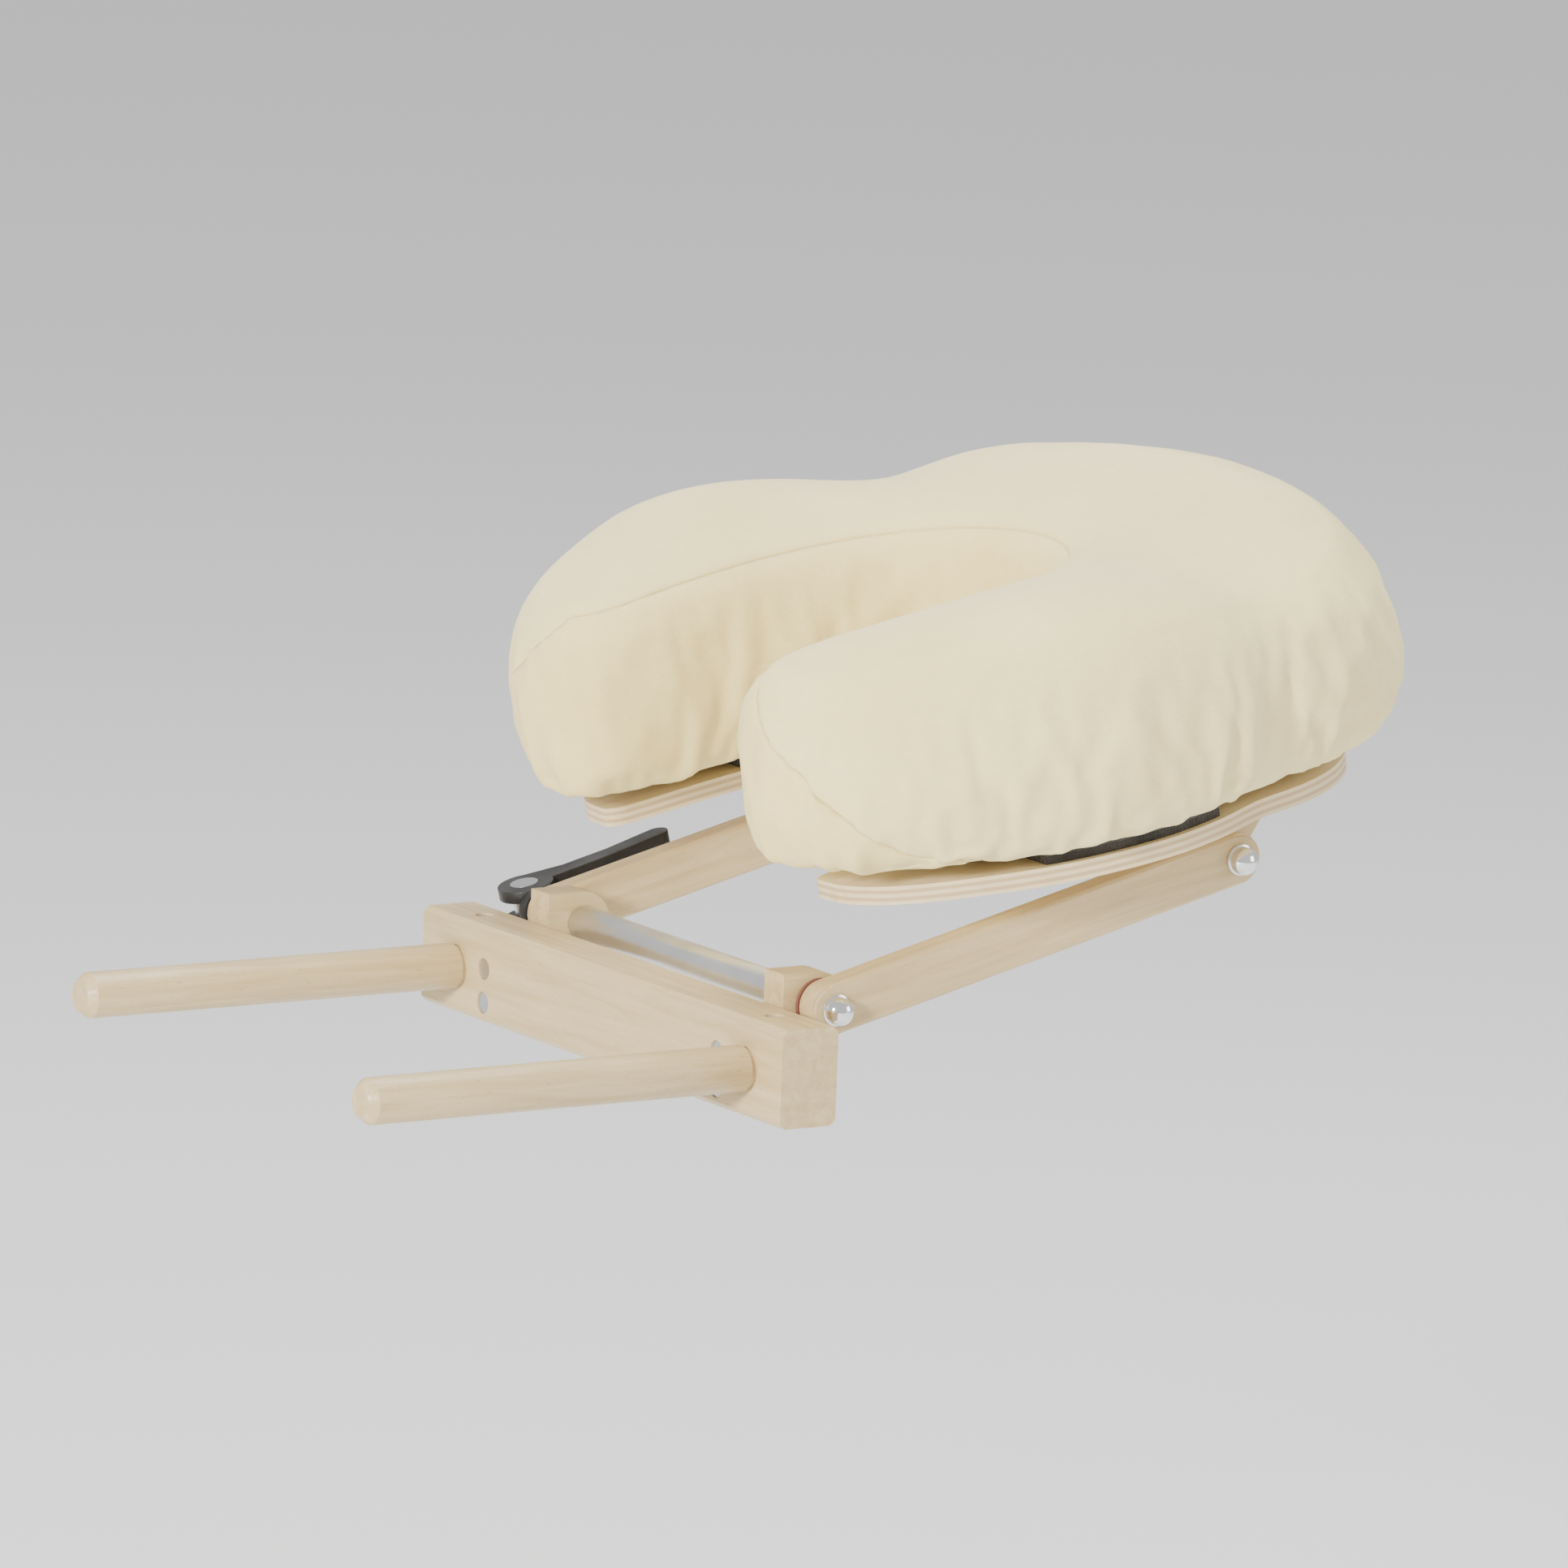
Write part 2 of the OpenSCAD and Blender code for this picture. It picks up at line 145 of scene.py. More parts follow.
def area_light(name, place, size, power, colour):
    """A square lamp that looks at the cushion."""
    lamp = bpy.data.lights.new(name, "AREA")
    lamp.shape = "RECTANGLE"
    lamp.size = lamp.size_y = size
    lamp.energy = power
    lamp.color = colour
    holder = bpy.data.objects.new(name, lamp)
    holder.location = place
    holder.rotation_euler = (LAMPS_LOOK_AT - Vector(place)).to_track_quat("-Z", "Y").to_euler()
    scene.collection.objects.link(holder)


world = bpy.data.worlds.new("pale_room")
world.use_nodes = True
world.node_tree.nodes["Background"].inputs["Color"].default_value = (1, 1, 1, 1)
world.node_tree.nodes["Background"].inputs["Strength"].default_value = 0.8
scene.world = world

area_light("overhead", (0.5, 0.2, 2.3), 1.5, 66, (0.97, 0.985, 1))
area_light("window", (-2.6, -1.3, 0.9), 0.5, 150, (1, 0.975, 0.93))
area_light("far_rim", (1.7, -1.5, 0.5), 1.0, 14, (1, 0.98, 0.95))
print("lamps:", len(bpy.data.lights))

# %% [markdown]
# ## The horseshoe's outline
# Every soft piece follows one outline, so it is drawn once, with the same points as the CAD
# model: in along the slot, round the tip of an arm, out over the cheek, in at the waist and
# round the closed end, then the same mirrored. A Bezier curve object could be drawn by hand
# instead, but points worked out from the cushion's few sizes stay true to them.

# %% Outline points
WIDE, LONG = 306, 262
SLOT_MOUTH, SLOT_END, SLOT_LONG = 46, 46, 158
arm_wide = WIDE / 2 - SLOT_MOUTH
slot_points = [(SLOT_LONG, 0), (SLOT_LONG - SLOT_END * 0.15, SLOT_END * 0.56),
               (SLOT_LONG - SLOT_END * 0.56, SLOT_END * 0.92),
               (SLOT_LONG * 0.6, (SLOT_END + SLOT_MOUTH) * 0.515),
               (SLOT_LONG * 0.36, SLOT_MOUTH * 1.03), (SLOT_LONG * 0.15, SLOT_MOUTH)]
tip_points = [(6, SLOT_MOUTH + arm_wide * 0.08), (0, SLOT_MOUTH + arm_wide * 0.23),
              (3, SLOT_MOUTH + arm_wide * 0.43), (18, SLOT_MOUTH + arm_wide * 0.64)]
outer_points = [(x * LONG, y * WIDE / 2) for x, y in (
    (0.172, 0.87), (0.305, 0.967), (0.458, 1), (0.573, 0.97), (0.655, 0.918), (0.74, 0.895),
    (0.835, 0.82), (0.915, 0.675), (0.97, 0.45), (0.994, 0.22), (1, 0))]
half_outline = slot_points + tip_points + outer_points
knots = np.array(half_outline + [(x, -y) for x, y in half_outline[-2:0:-1]], float)
print("outline drawn from", len(knots), "points")

# %% [markdown]
# ## Equal steps and smaller copies
# A smooth curve runs through the points, and it is cut into equal steps, so that the cloth made
# on it has even squares. The rows of the cushion's side lie a little inside one another. Scaling
# the outline would pinch the slot, so it is moved inwards a millimetre at a time along its own
# normals, and eased a little at each move to keep tight bends smooth.

# %% Smooth outline
CURVE_CUTS = 40


def heading(ring):
    """The way that a closed ring of points runs at each point, as unit vectors."""
    way = np.roll(ring, -1, 0) - np.roll(ring, 1, 0)
    return way / np.linalg.norm(way, axis=1, keepdims=True)


def fine_outline():
    """The smooth curve through the knots, cut finely."""
    start, end = knots, np.roll(knots, -1, 0)
    way, end_way = heading(knots), np.roll(heading(knots), -1, 0)
    length = np.linalg.norm(end - start, axis=1)[:, None, None]
    t = np.linspace(0, 1, CURVE_CUTS, endpoint=False)[None, :, None]
    ease = t * t * (3 - 2 * t)
    start, end, way, end_way = (x[:, None, :] for x in (start, end, way, end_way))
    points = start + (end - start) * ease + length * t * (1 - t) * ((1 - t) * way - t * end_way)
    return points.reshape(-1, 2)


print("fine outline:", len(fine_outline()), "points")


def ring_of(step):
    """The outline in equal steps, how far round each step lies, and how far each knot."""
    fine = fine_outline()
    closed = np.vstack([fine, fine[:1]])
    far = np.concatenate([[0], np.cumsum(np.linalg.norm(np.diff(closed, axis=0), axis=1))])
    count = 2 * round(far[-1] / step / 2)
    at = np.arange(count) * far[-1] / count
    ring = np.stack([np.interp(at, far, closed[:, i]) for i in (0, 1)], 1)
    return ring, at, far[:-1:CURVE_CUTS]


# %% Inset rings
EASE, EVEN_OUT = 0.12, 0.3


def inset_rings(ring, depth):
    """The outline moved inwards a millimetre at a time, kept smooth where it is tight."""
    rings = [ring]
    for _ in range(depth):
        way = heading(rings[-1])
        moved = rings[-1] + np.stack([way[:, 1], -way[:, 0]], 1)
        pull = (np.roll(moved, 1, 0) + np.roll(moved, -1, 0)) / 2 - moved
        slide = (pull * way).sum(1, keepdims=True) * way
        rings.append(moved + EASE * pull + EVEN_OUT * slide)
    return np.array(rings)


CLOTH_STEP = 4.0
DEEPEST = 24
ring, ring_at, knot_at = ring_of(CLOTH_STEP)
ring_long = ring_at[1] * len(ring)
columns = len(ring)
insets = inset_rings(ring, DEEPEST)
print("outline", round(ring_long), "mm round,", columns, "columns of cloth")

# %% [markdown]
# ## The cushion's section
# Seen in section the cushion is a loaf: flat below, bulging at the sides, round at the top edge
# and crowned. Along the slot its wall is steeper and its top edge tighter, because there the
# cloth is a separate strip sewn to the top. Each row below is one line of the loaf, as how far
# in from the outline it lies and how high. The two lists blend into each other round the tips.
# A sculpted block could have the same shape, but rows keep the cloth's squares in line, and
# the same rows a little further in make the vinyl and the foam.

# %% Section rows
outer_section = np.array([
    (16, 4.6), (13, 4), (10, 4.4), (7.2, 5.9), (4.8, 8.4), (2.9, 11.7), (1.5, 15.7),
    (0.6, 20.1), (0.1, 24.9), (0, 30), (0, 35.2), (0.2, 40.4), (0.7, 45.6), (1.6, 50.8),
    (3, 55.8), (5, 60.5), (7.8, 65), (10, 67.8), (12.6, 70.3), (15.6, 72.6)])
slot_section = np.array([
    (16, 4.6), (12.5, 4), (9, 4.3), (6, 5.6), (3.6, 7.8), (1.9, 10.8), (0.8, 14.6), (0.2, 19),
    (0, 23.8), (0, 28.8), (0, 33.9), (0, 39), (0, 44.1), (0.1, 49.2), (0.5, 54.3), (1.6, 59.2),
    (3.6, 63.8), (6.6, 67.8), (10.6, 71), (15.4, 73.3)])
ROWS = len(outer_section)
SEAM_ROW = 17.6
mouth_at, tip_end_at = knot_at[5] + 4, knot_at[9]
BLEND_PAST_MOUTH = 12
from_slot = np.minimum(ring_at, ring_long - ring_at)
slotness = np.clip((tip_end_at - from_slot) / (tip_end_at - mouth_at + BLEND_PAST_MOUTH), 0, 1)
slotness = slotness ** 2 * (3 - 2 * slotness)
print("rows up the side:", ROWS)

# %% [markdown]
# ## The crown
# The foam's top is not flat: it rises under the cheeks and the forehead and dips at the waist
# and the tips. Each rise or dip is one soft bump of a formula, with its height, its place and
# its reach in millimetres, which is easier to adjust than moving points one by one.

# %% Crown
DOME = 11
CROWN = 79
TOP_FOLLOWS_ABOVE = 36


def crown(u, y):
    """Height of the cushion's top: full at cheeks and forehead, low at the waist and tips."""
    y = np.abs(y)
    cheek = 7.5 * np.exp(-((u - 90) / 42) ** 2 - ((y - 122) / 42) ** 2)
    brow = 6.5 * np.exp(-((u - 248) / 42) ** 2 - (y / 80) ** 2)
    waist = 8 * np.exp(-((u - 176) / 26) ** 2 - ((y - 128) / 40) ** 2)
    tip = 5.5 * np.exp(-(np.maximum(u, 0) / 24) ** 2)
    return CROWN + cheek + brow - waist - tip


print("top over a cheek", round(crown(90, 122), 1), "mm, over a tip", round(crown(0, 90), 1), "mm")


def section_grid(shrink=0.0):
    """Rows of points up the cushion's side, all lying `shrink` inside the cover."""
    mix = slotness[None, :, None]
    profile = slot_section[:, None, :] * mix + outer_section[:, None, :] * (1 - mix)
    inset, height = profile[..., 0].copy(), profile[..., 1].copy()
    deep = insets[DEEPEST]
    rise = (crown(deep[:, 0], deep[:, 1]) - CROWN) * 0.9
    height += np.clip((height - TOP_FOLLOWS_ABOVE) / TOP_FOLLOWS_ABOVE, 0, 1) * rise[None, :]
    slope = np.gradient(profile, axis=0)
    slope /= np.linalg.norm(slope, axis=2, keepdims=True)
    inset += slope[..., 1] * shrink
    height -= slope[..., 0] * shrink
    level = np.clip(inset, 0, len(insets) - 1.001)
    below = level.astype(int)
    part = (level - below)[..., None]
    column = np.arange(columns)[None, :]
    flat = insets[below, column] * (1 - part) + insets[below + 1, column] * part
    return np.concatenate([flat, height[..., None]], 2)


# %% [markdown]
# ## Closing the top and the underside
# The rows end in a closed loop on top and another below. One big face across a loop could not
# follow the crown, and a fan of long triangles would crease. So even triangles fill the loop,
# and their heights are worked out from the crown and then smoothed.

# %% Filling a loop
ROW_SPACING = 0.866
CLEAR_OF_LOOP = 0.72


def inside(points, loop):
    """Whether each flat point lies within the loop."""
    x, y = points[:, :1], points[:, 1:2]
    x1, y1 = loop[:, 0][None], loop[:, 1][None]
    x2, y2 = np.roll(loop[:, 0], -1)[None], np.roll(loop[:, 1], -1)[None]
    crosses = (y1 > y) != (y2 > y)
    reach = (x2 - x1) * (y - y1) / np.where(y2 == y1, 1, y2 - y1) + x1
    return (crosses & (x < reach)).sum(1) % 2 == 1


def filled(loop, spacing):
    """Even triangles that fill a flat loop.

    Gives the extra points, how far in each is, its nearest point of the loop, and the faces.
    """
    low, high = loop.min(0), loop.max(0)
    rows = np.arange(low[1], high[1], spacing * ROW_SPACING)
    grid = np.array([(x + (i % 2) * spacing / 2, y) for i, y in enumerate(rows)
                     for x in np.arange(low[0], high[0], spacing)])
    grid = grid[inside(grid, loop)]
    apart = np.linalg.norm(grid[:, None] - loop[None], axis=2)
    keep = apart.min(1) > spacing * CLEAR_OF_LOOP
    grid, apart = grid[keep], apart[keep]
    everything = [Vector(p) for p in np.vstack([loop, grid])]
    made = delaunay_2d_cdt(everything, [], [list(range(len(loop)))], 1, 1e-7)
    assert len(made[0]) == len(everything), "a point was lost"
    back = {i: old[0] for i, old in enumerate(made[3])}
    faces = [[back[i] for i in f] for f in made[2]]
    return grid, apart.min(1), apart.argmin(1), faces


def side_faces(rows, across):
    """Quads between the rows of a closed ring, facing out."""
    return [(r * across + c, (r + 1) * across + c, (r + 1) * across + (c + 1) % across,
             r * across + (c + 1) % across) for r in range(rows - 1) for c in range(across)]


# %% The loaf
SMOOTHING_ROUNDS, SMOOTHING_SHARE = 6, 0.6
TOP_SPACING, UNDERSIDE_SPACING = 4.6, 5
FLAT_BELOW = 2.1


def smooth_heights(points, faces, fixed):
    """Evens out the heights of the points past the fixed ones."""
    pairs = np.array([(f[i], f[i - 1]) for f in faces for i in range(len(f))])
    pairs = np.vstack([pairs, pairs[:, ::-1]])
    count = np.maximum(np.bincount(pairs[:, 0], minlength=len(points)), 1)
    for _ in range(SMOOTHING_ROUNDS):
        mean = np.bincount(pairs[:, 0], points[pairs[:, 1], 2], len(points)) / count
        points[fixed:, 2] += SMOOTHING_SHARE * (mean - points[:, 2])[fixed:]
    return points


def loaf(shrink, bottom, every=1):
    """The cushion's shape `shrink` millimetres inside the cover, open or closed below."""
    side = section_grid(shrink)[::-every][::-1, ::every]
    count, across = side.shape[:2]
    points = side.reshape(-1, 3)
    faces = side_faces(count, across)
    top, deep, near, fill = filled(side[-1, :, :2], TOP_SPACING * every)
    edge_height = side[-1, near, 2]
    rise = 1 - np.exp(-deep / DOME)
    height = edge_height + (crown(top[:, 0], top[:, 1]) - shrink - edge_height) * rise
    first = (count - 1) * across
    moved = [[first + i for i in f] for f in fill]
    points = np.vstack([points, np.column_stack([top, height])])
    points = smooth_heights(points, moved, count * across)
    faces += moved
    if bottom:
        floor_points, into, _, floor_fill = filled(side[0, :, :2], UNDERSIDE_SPACING * every)
        start = len(points)
        flat = max(0, shrink - FLAT_BELOW)
        level = flat + (side[0, :, 2].mean() - flat) * np.exp(-into / 4)
        points = np.vstack([points, np.column_stack([floor_points, level])])
        faces += [[i if i < across else start + i - across for i in f][::-1] for f in floor_fill]
    return points, faces


def piece(name, points, faces):
    """A smooth shaded mesh object from points in metres."""
    made = bpy.data.meshes.new(name)
    made.from_pydata(np.asarray(points, float).tolist(), [], [list(map(int, f)) for f in faces])
    made.polygons.foreach_set("use_smooth", [True] * len(made.polygons))
    made.update()
    ob = bpy.data.objects.new(name, made)
    scene.collection.objects.link(ob)
    return ob


cover_points, cover_faces = loaf(0, bottom=False)
print("cover", len(cover_points), "points,", len(cover_faces), "faces")

# %% [markdown]
# ## Where the cover's cloth is full
# The cover is a flat panel pulled down over the sides by an elastic hem, so it has more cloth at
# the bottom than the cushion has room for, and the extra cloth stands up in gathers. They could
# be drawn as a wave, but a wave looks like a machine's work. Cloth that is cut longer than its
# space makes real gathers by itself, and a few irregular seed folds, some broad and some fine,
# only decide where they start, so that no two are alike.

# %% Gathers
GATHERS_TOP = 62
side = section_grid(0)
outward = np.stack([-heading(ring)[:, 1], heading(ring)[:, 0]], 1)
hem_share = np.clip((GATHERS_TOP - side[..., 2]) / GATHERS_TOP, 0, 1)


def seed_folds(seed, spacing, depth, start):
    """Irregular folds down the side, out and in by turns, deeper towards the hem."""
    random = np.random.default_rng(seed)
    folds = np.zeros(side.shape[:2])
    at = random.uniform(0, spacing)
    sign = 1
    while at < ring_long:
        width = random.uniform(0.16, 0.30) * spacing
        top = start - random.uniform(0, 1) ** 1.3 * start * 0.55
        slant = random.normal(0, 0.13)
        middle = at + (top - side[..., 2]) * slant
        apart = (ring_at[None, :] - middle + ring_long / 2) % ring_long - ring_long / 2
        fade = np.clip((top - side[..., 2]) / top, 0, 1) ** 0.8
        strength = depth * random.uniform(0.45, 1.15)
        folds += sign * strength * fade * np.exp(-0.5 * (apart / width) ** 2)
        at += spacing * random.uniform(0.55, 1.45) / 2
        sign = -sign
    return folds


broad = seed_folds(3, 33, 3.7, 70)
fine = seed_folds(8, 15, 2.1, 42)
on_slot = slotness[None, :]
seeds = (broad + fine) * (1 - 0.5 * on_slot)
print("seed folds from", round(seeds.min(), 2), "to", round(seeds.max(), 2), "mm")

# %% [markdown]
# ## Puckers beside the tip seams
# Thread pulls a seam a little shorter than the cloth it holds, so the cloth puckers beside it.
# The seam runs along the slot's top edge and then slants down each arm's tip to the hem. The
# puckers are smoothed random bumps that fade away from that line, and both they and the folds
# fade at the hem, where the elastic presses the cloth flat.

# %% Tip puckers
SEAM_REACH, PUCKER = 1.6, 1.5
seam_turn, seam_end = knot_at[6] + 2, knot_at[10] + 8
seam_row = SEAM_ROW * np.clip((seam_end - from_slot) / (seam_end - seam_turn), 0, 1)
on_tip = (seam_row < SEAM_ROW - 1) & (seam_row > 0.5)
from_seam = (np.arange(ROWS)[:, None] - seam_row[None, :]) / SEAM_REACH
draw = np.random.default_rng(17)
pucker = np.convolve(draw.normal(0, PUCKER, columns + 2), [0.35, 0.3, 0.35], "valid")
seeds += np.exp(-from_seam ** 2) * on_tip[None, :] * pucker[None, :]
seeds *= np.clip(np.arange(ROWS) / 3, 0.35, 1)[:, None]
print("columns with puckers:", int(on_tip.sum()))

# %% [markdown]
# ## Settling the cover on the pad
# The padded cushion is the solid that the cloth may not pass through. The hem is held by its
# elastic and the top edge by the crown, and the sides between them are free, so only they are
# simulated, which is quick. A shrink below nought makes cloth longer than it was drawn, most of
# it near the hem. Gravity is off, because a fitted cover is shaped by its stretch, and a little
# pressure keeps it off the pad. Each point may move only a few millimetres.

# %% Settle
FULLER = 0.17
PRESSURE = 0.2
FRAMES = 16
MOST_MOVE = 8
CLOTH_GAP = 0.0006


def settle(name, points, faces, pin, fullness, obstacle):
    """Runs a short cloth simulation and gives back the settled points in metres."""
    cloth = piece(name, points, faces)
    held = cloth.vertex_groups.new(name="held")
    for i, weight in enumerate(pin):
        if weight > 0.01:
            held.add([i], float(weight), "REPLACE")
    sim = cloth.modifiers.new("cloth", "CLOTH")
    made = sim.settings
    snug = cloth.vertex_groups.new(name="snug")
    for i, weight in enumerate(fullness):
        snug.add([i], float(1 - weight), "REPLACE")
    made.vertex_group_shrink = "snug"
    made.shrink_min, made.shrink_max = -FULLER, 0
    made.vertex_group_mass = "held"
    made.pin_stiffness = 1
    made.quality = 5
    made.mass = 0.08
    made.tension_stiffness = made.compression_stiffness = 25
    made.shear_stiffness = 12
    made.bending_stiffness = 0.2
    made.air_damping = 1
    made.tension_damping = made.compression_damping = made.shear_damping = 8
    made.bending_damping = 1.5
    made.use_pressure = True
    made.uniform_pressure_force = PRESSURE
    made.effector_weights.gravity = 0
    sim.collision_settings.use_collision = True
    sim.collision_settings.distance_min = CLOTH_GAP
    sim.collision_settings.collision_quality = 3
    sim.point_cache.frame_start, sim.point_cache.frame_end = 1, FRAMES
    obstacle.modifiers.new("solid", "COLLISION")
    obstacle.collision.thickness_outer = CLOTH_GAP
    obstacle.collision.cloth_friction = 6
    for step in range(1, FRAMES + 1):
        scene.frame_set(step)
    seen = cloth.evaluated_get(bpy.context.evaluated_depsgraph_get())
    settled = np.empty(len(points) * 3, np.float32)
    seen.data.vertices.foreach_get("co", settled)
    settled = settled.reshape(-1, 3).astype(float)
    scene.frame_set(1)
    bpy.data.objects.remove(cloth)
    moved = settled - points
    far = np.linalg.norm(moved, axis=1, keepdims=True)
    print(name, "moved up to", round(far.max() * 1000, 1), "mm, mean", round(far.mean() * 1000, 2))
    return points + moved * np.minimum(1, MOST_MOVE * MM / np.maximum(far, 1e-9))


# %% Settle the cover's sides
PAD_INSIDE = 2.0
worn = cover_points.copy()
sides = ROWS * columns
worn[:sides].reshape(ROWS, columns, 3)[..., :2] += seeds[..., None] * outward[None]
pins = np.zeros((ROWS, columns))
pins[:2] = 1
pins[-4:] = np.array([0.2, 0.5, 0.9, 1])[:, None]
fullness = (hem_share * (1 - 0.45 * on_slot)) ** 0.5
core_points, core_faces = loaf(PAD_INSIDE, bottom=True, every=2)
pad_solid = piece("pad_solid", placed(core_points), core_faces)
side_cloth = settle("cover_cloth", placed(worn[:sides]), side_faces(ROWS, columns),
                    pins.ravel(), fullness.ravel(), pad_solid)
settled = np.vstack([side_cloth, placed(worn[sides:])])
bpy.data.objects.remove(pad_solid)

# %% [markdown]
# ## Cutting the cover into its two cloths
# The cover is sewn from a top panel, which also makes the outer sides, and one strip that lines
# the slot and folds round the two arm tips. Two cloths could be simulated and sewn, but their
# folds would not meet. Here the settled cloth is cut along the seam, so both pieces keep the
# same folds. Each point carries its place, its two cloth maps, its normal and how far above the
# seam it is, and the normals are taken before the cut, so that both edges still face alike.

# %% The seam's line
IS_ON_SEAM = 0.12
cut_row = np.where(from_slot > seam_end, -2, seam_row)
above = np.ones(len(settled))
above[:sides] = (np.arange(ROWS)[:, None] - cut_row[None, :]).ravel()
above[np.abs(above) < IS_ON_SEAM] = 0
walk = np.concatenate([np.zeros((1, columns)),
                       np.cumsum(np.linalg.norm(np.diff(side, axis=0), axis=2), 0)])
chart = np.zeros((len(settled), 4))
chart[:sides, 0] = np.broadcast_to(ring_at, (ROWS, columns)).ravel()
chart[:sides, 1] = walk.ravel()
chart[:, 2:] = worn[:, :2]


def point_normals(points, faces):
    """Average normals of a mesh's points."""
    normals = np.zeros_like(points)
    for face in faces:
        corner = points[list(face)]
        turn = np.cross(corner[1] - corner[0], corner[2] - corner[0])
        normals[list(face)] += turn / max(np.linalg.norm(turn), 1e-12)
    return normals / np.maximum(np.linalg.norm(normals, axis=1, keepdims=True), 1e-9)


PLACE, WALL_MAP, TOP_MAP, NORMAL, ABOVE = slice(0, 3), slice(3, 5), slice(5, 7), slice(7, 10), 10
all_info = np.column_stack([settled, chart, point_normals(settled, cover_faces), above])
print("points on the seam:", int((above == 0).sum()))


# %% Cutting a mesh along the seam
def cut(info, faces, keep_above):
    """The part of a mesh on one side of the line where its last value is nought."""
    rows, new_faces, made = [], [], {}

    def point(key, values):
        if key not in made:
            made[key] = len(rows)
            rows.append(values)
        return made[key]

    for face in faces:
        ends = list(zip(face, list(face[1:]) + [face[0]]))
        new = []
        for i, j in ends:
            a, b = info[i, ABOVE], info[j, ABOVE]
            if not keep_above:
                a, b = -a, -b
            if a >= 0:
                new.append(point((i, i), info[i]))
            if a * b < 0:
                share = abs(a) / (abs(a) + abs(b))
                start, end = info[i].copy(), info[j].copy()
                if abs(end[3] - start[3]) > ring_long / 2:
                    end[3] += ring_long if end[3] < start[3] else -ring_long
                values = start + (end - start) * share
                values[ABOVE] = 0
                new.append(point((min(i, j), max(i, j)), values))
        new = [p for n, p in enumerate(new) if p != new[n - 1]]
        if len(new) > 2 and any(rows[p][ABOVE] != 0 for p in new):
            new_faces.append(new)
    return np.array(rows), new_faces


# %% [markdown]
# ## Two pieces of cloth with their own thickness
# Seam allowances pull a seam in, so the cut edges are drawn in by about a millimetre, and the
# seam shows as a fine furrow with no line painted on. A map in metres of cloth tells the weave
# where its threads run: round and up the walls, and straight across the top. One subdivision
# rounds the folds, and the cloth then gets its real thickness inwards.

# %% The two cloths
SEAM_DRAWN_IN = 1.1
CLOTH_THICK = 0.7


def cloth_piece(name, info, faces):
    """A cloth piece with its seam edge drawn in, a weave map, and its real thickness."""
    info = info.copy()
    drawn = info[:, ABOVE] == 0
    info[drawn, PLACE] -= info[drawn, NORMAL] * SEAM_DRAWN_IN * MM
    ob = piece(name, info[:, PLACE], faces)
    weave = ob.data.uv_layers.new(name="weave")
    for face in ob.data.polygons:
        corners = list(face.vertices)
        flat = any(info[c, ABOVE] == 1.0 for c in corners)
        values = info[corners, TOP_MAP if flat else WALL_MAP]
        if not flat and np.ptp(values[:, 0]) > ring_long / 2:
            values[values[:, 0] < ring_long / 2, 0] += ring_long
        for corner, value in zip(face.loop_indices, values):
            weave.data[corner].uv = value * MM
    round_off = ob.modifiers.new("round_off", "SUBSURF")
    round_off.levels = round_off.render_levels = 1
    thick = ob.modifiers.new("thickness", "SOLIDIFY")
    thick.thickness = CLOTH_THICK * MM
    thick.offset = -1
    return ob


panel = cloth_piece("cover_top_panel", *cut(all_info, cover_faces, True))
strip = cloth_piece("cover_slot_lining", *cut(all_info, cover_faces, False))
print("panel", len(panel.data.polygons), "faces; slot strip", len(strip.data.polygons))

# %% [markdown]
# ## The hem
# The cover ends under the cushion in a narrow channel with an elastic band inside. The channel
# is cloth folded back on itself and gathered by the elastic. A curve with a bevel would give an
# even tube, so it is swept in mesh code instead, along the cover's last row, as a flat tube
# whose width and height waver. The welt of the vinyl is swept in the same way.

# %% Swept tubes
HEM_INSET, STITCH_INSET, WELT_INSET = 16, 12, 11
hem_line = insets[HEM_INSET]
waver = np.random.default_rng(5)


def wavering(count, waves, strength):
    """A closed row of smooth random values."""
    turn = np.arange(count) / count * 2 * math.pi
    total = np.zeros(count)
    for wave in waves:
        total += waver.normal(0, 1) * np.cos(wave * turn) + waver.normal(0, 1) * np.sin(wave * turn)
    return strength * total / math.sqrt(len(waves))


def sweep(name, line, wide, tall, level, corners, ripple=0.0):
    """A flat tube along a closed flat line; wide and tall are half sizes in millimetres."""
    count = len(line)
    way = heading(line)
    out = np.stack([-way[:, 1], way[:, 0]], 1)
    swing = wavering(count, range(60, 128, 3), ripple)
    swell = 1 + wavering(count, range(50, 120, 3), ripple * 0.14)
    turn = np.arange(corners) / corners * 2 * math.pi
    rows = []
    for c in range(corners):
        side_way = math.cos(turn[c]) * wide
        up = np.sign(math.sin(turn[c])) * abs(math.sin(turn[c])) ** 0.6 * tall
        flat = line + out * (side_way + 0.5 * swing)[:, None]
        rows.append(np.column_stack([flat, level + up * swell + 0.25 * swing]))
    points = np.concatenate(rows)
    faces = [(c * count + i, c * count + (i + 1) % count,
              (c + 1) % corners * count + (i + 1) % count, (c + 1) % corners * count + i)
             for c in range(corners) for i in range(count)]
    return piece(name, placed(points), faces)


# %% [markdown]
# ## The hem's stitches
# A hem is held by a row of short threads, each of which dips into the cloth at both ends. A
# dashed line could be painted, but real little threads catch the light. Each one is a short
# six-sided tube that is thin at its ends, and a loop sets them along the line at even gaps.

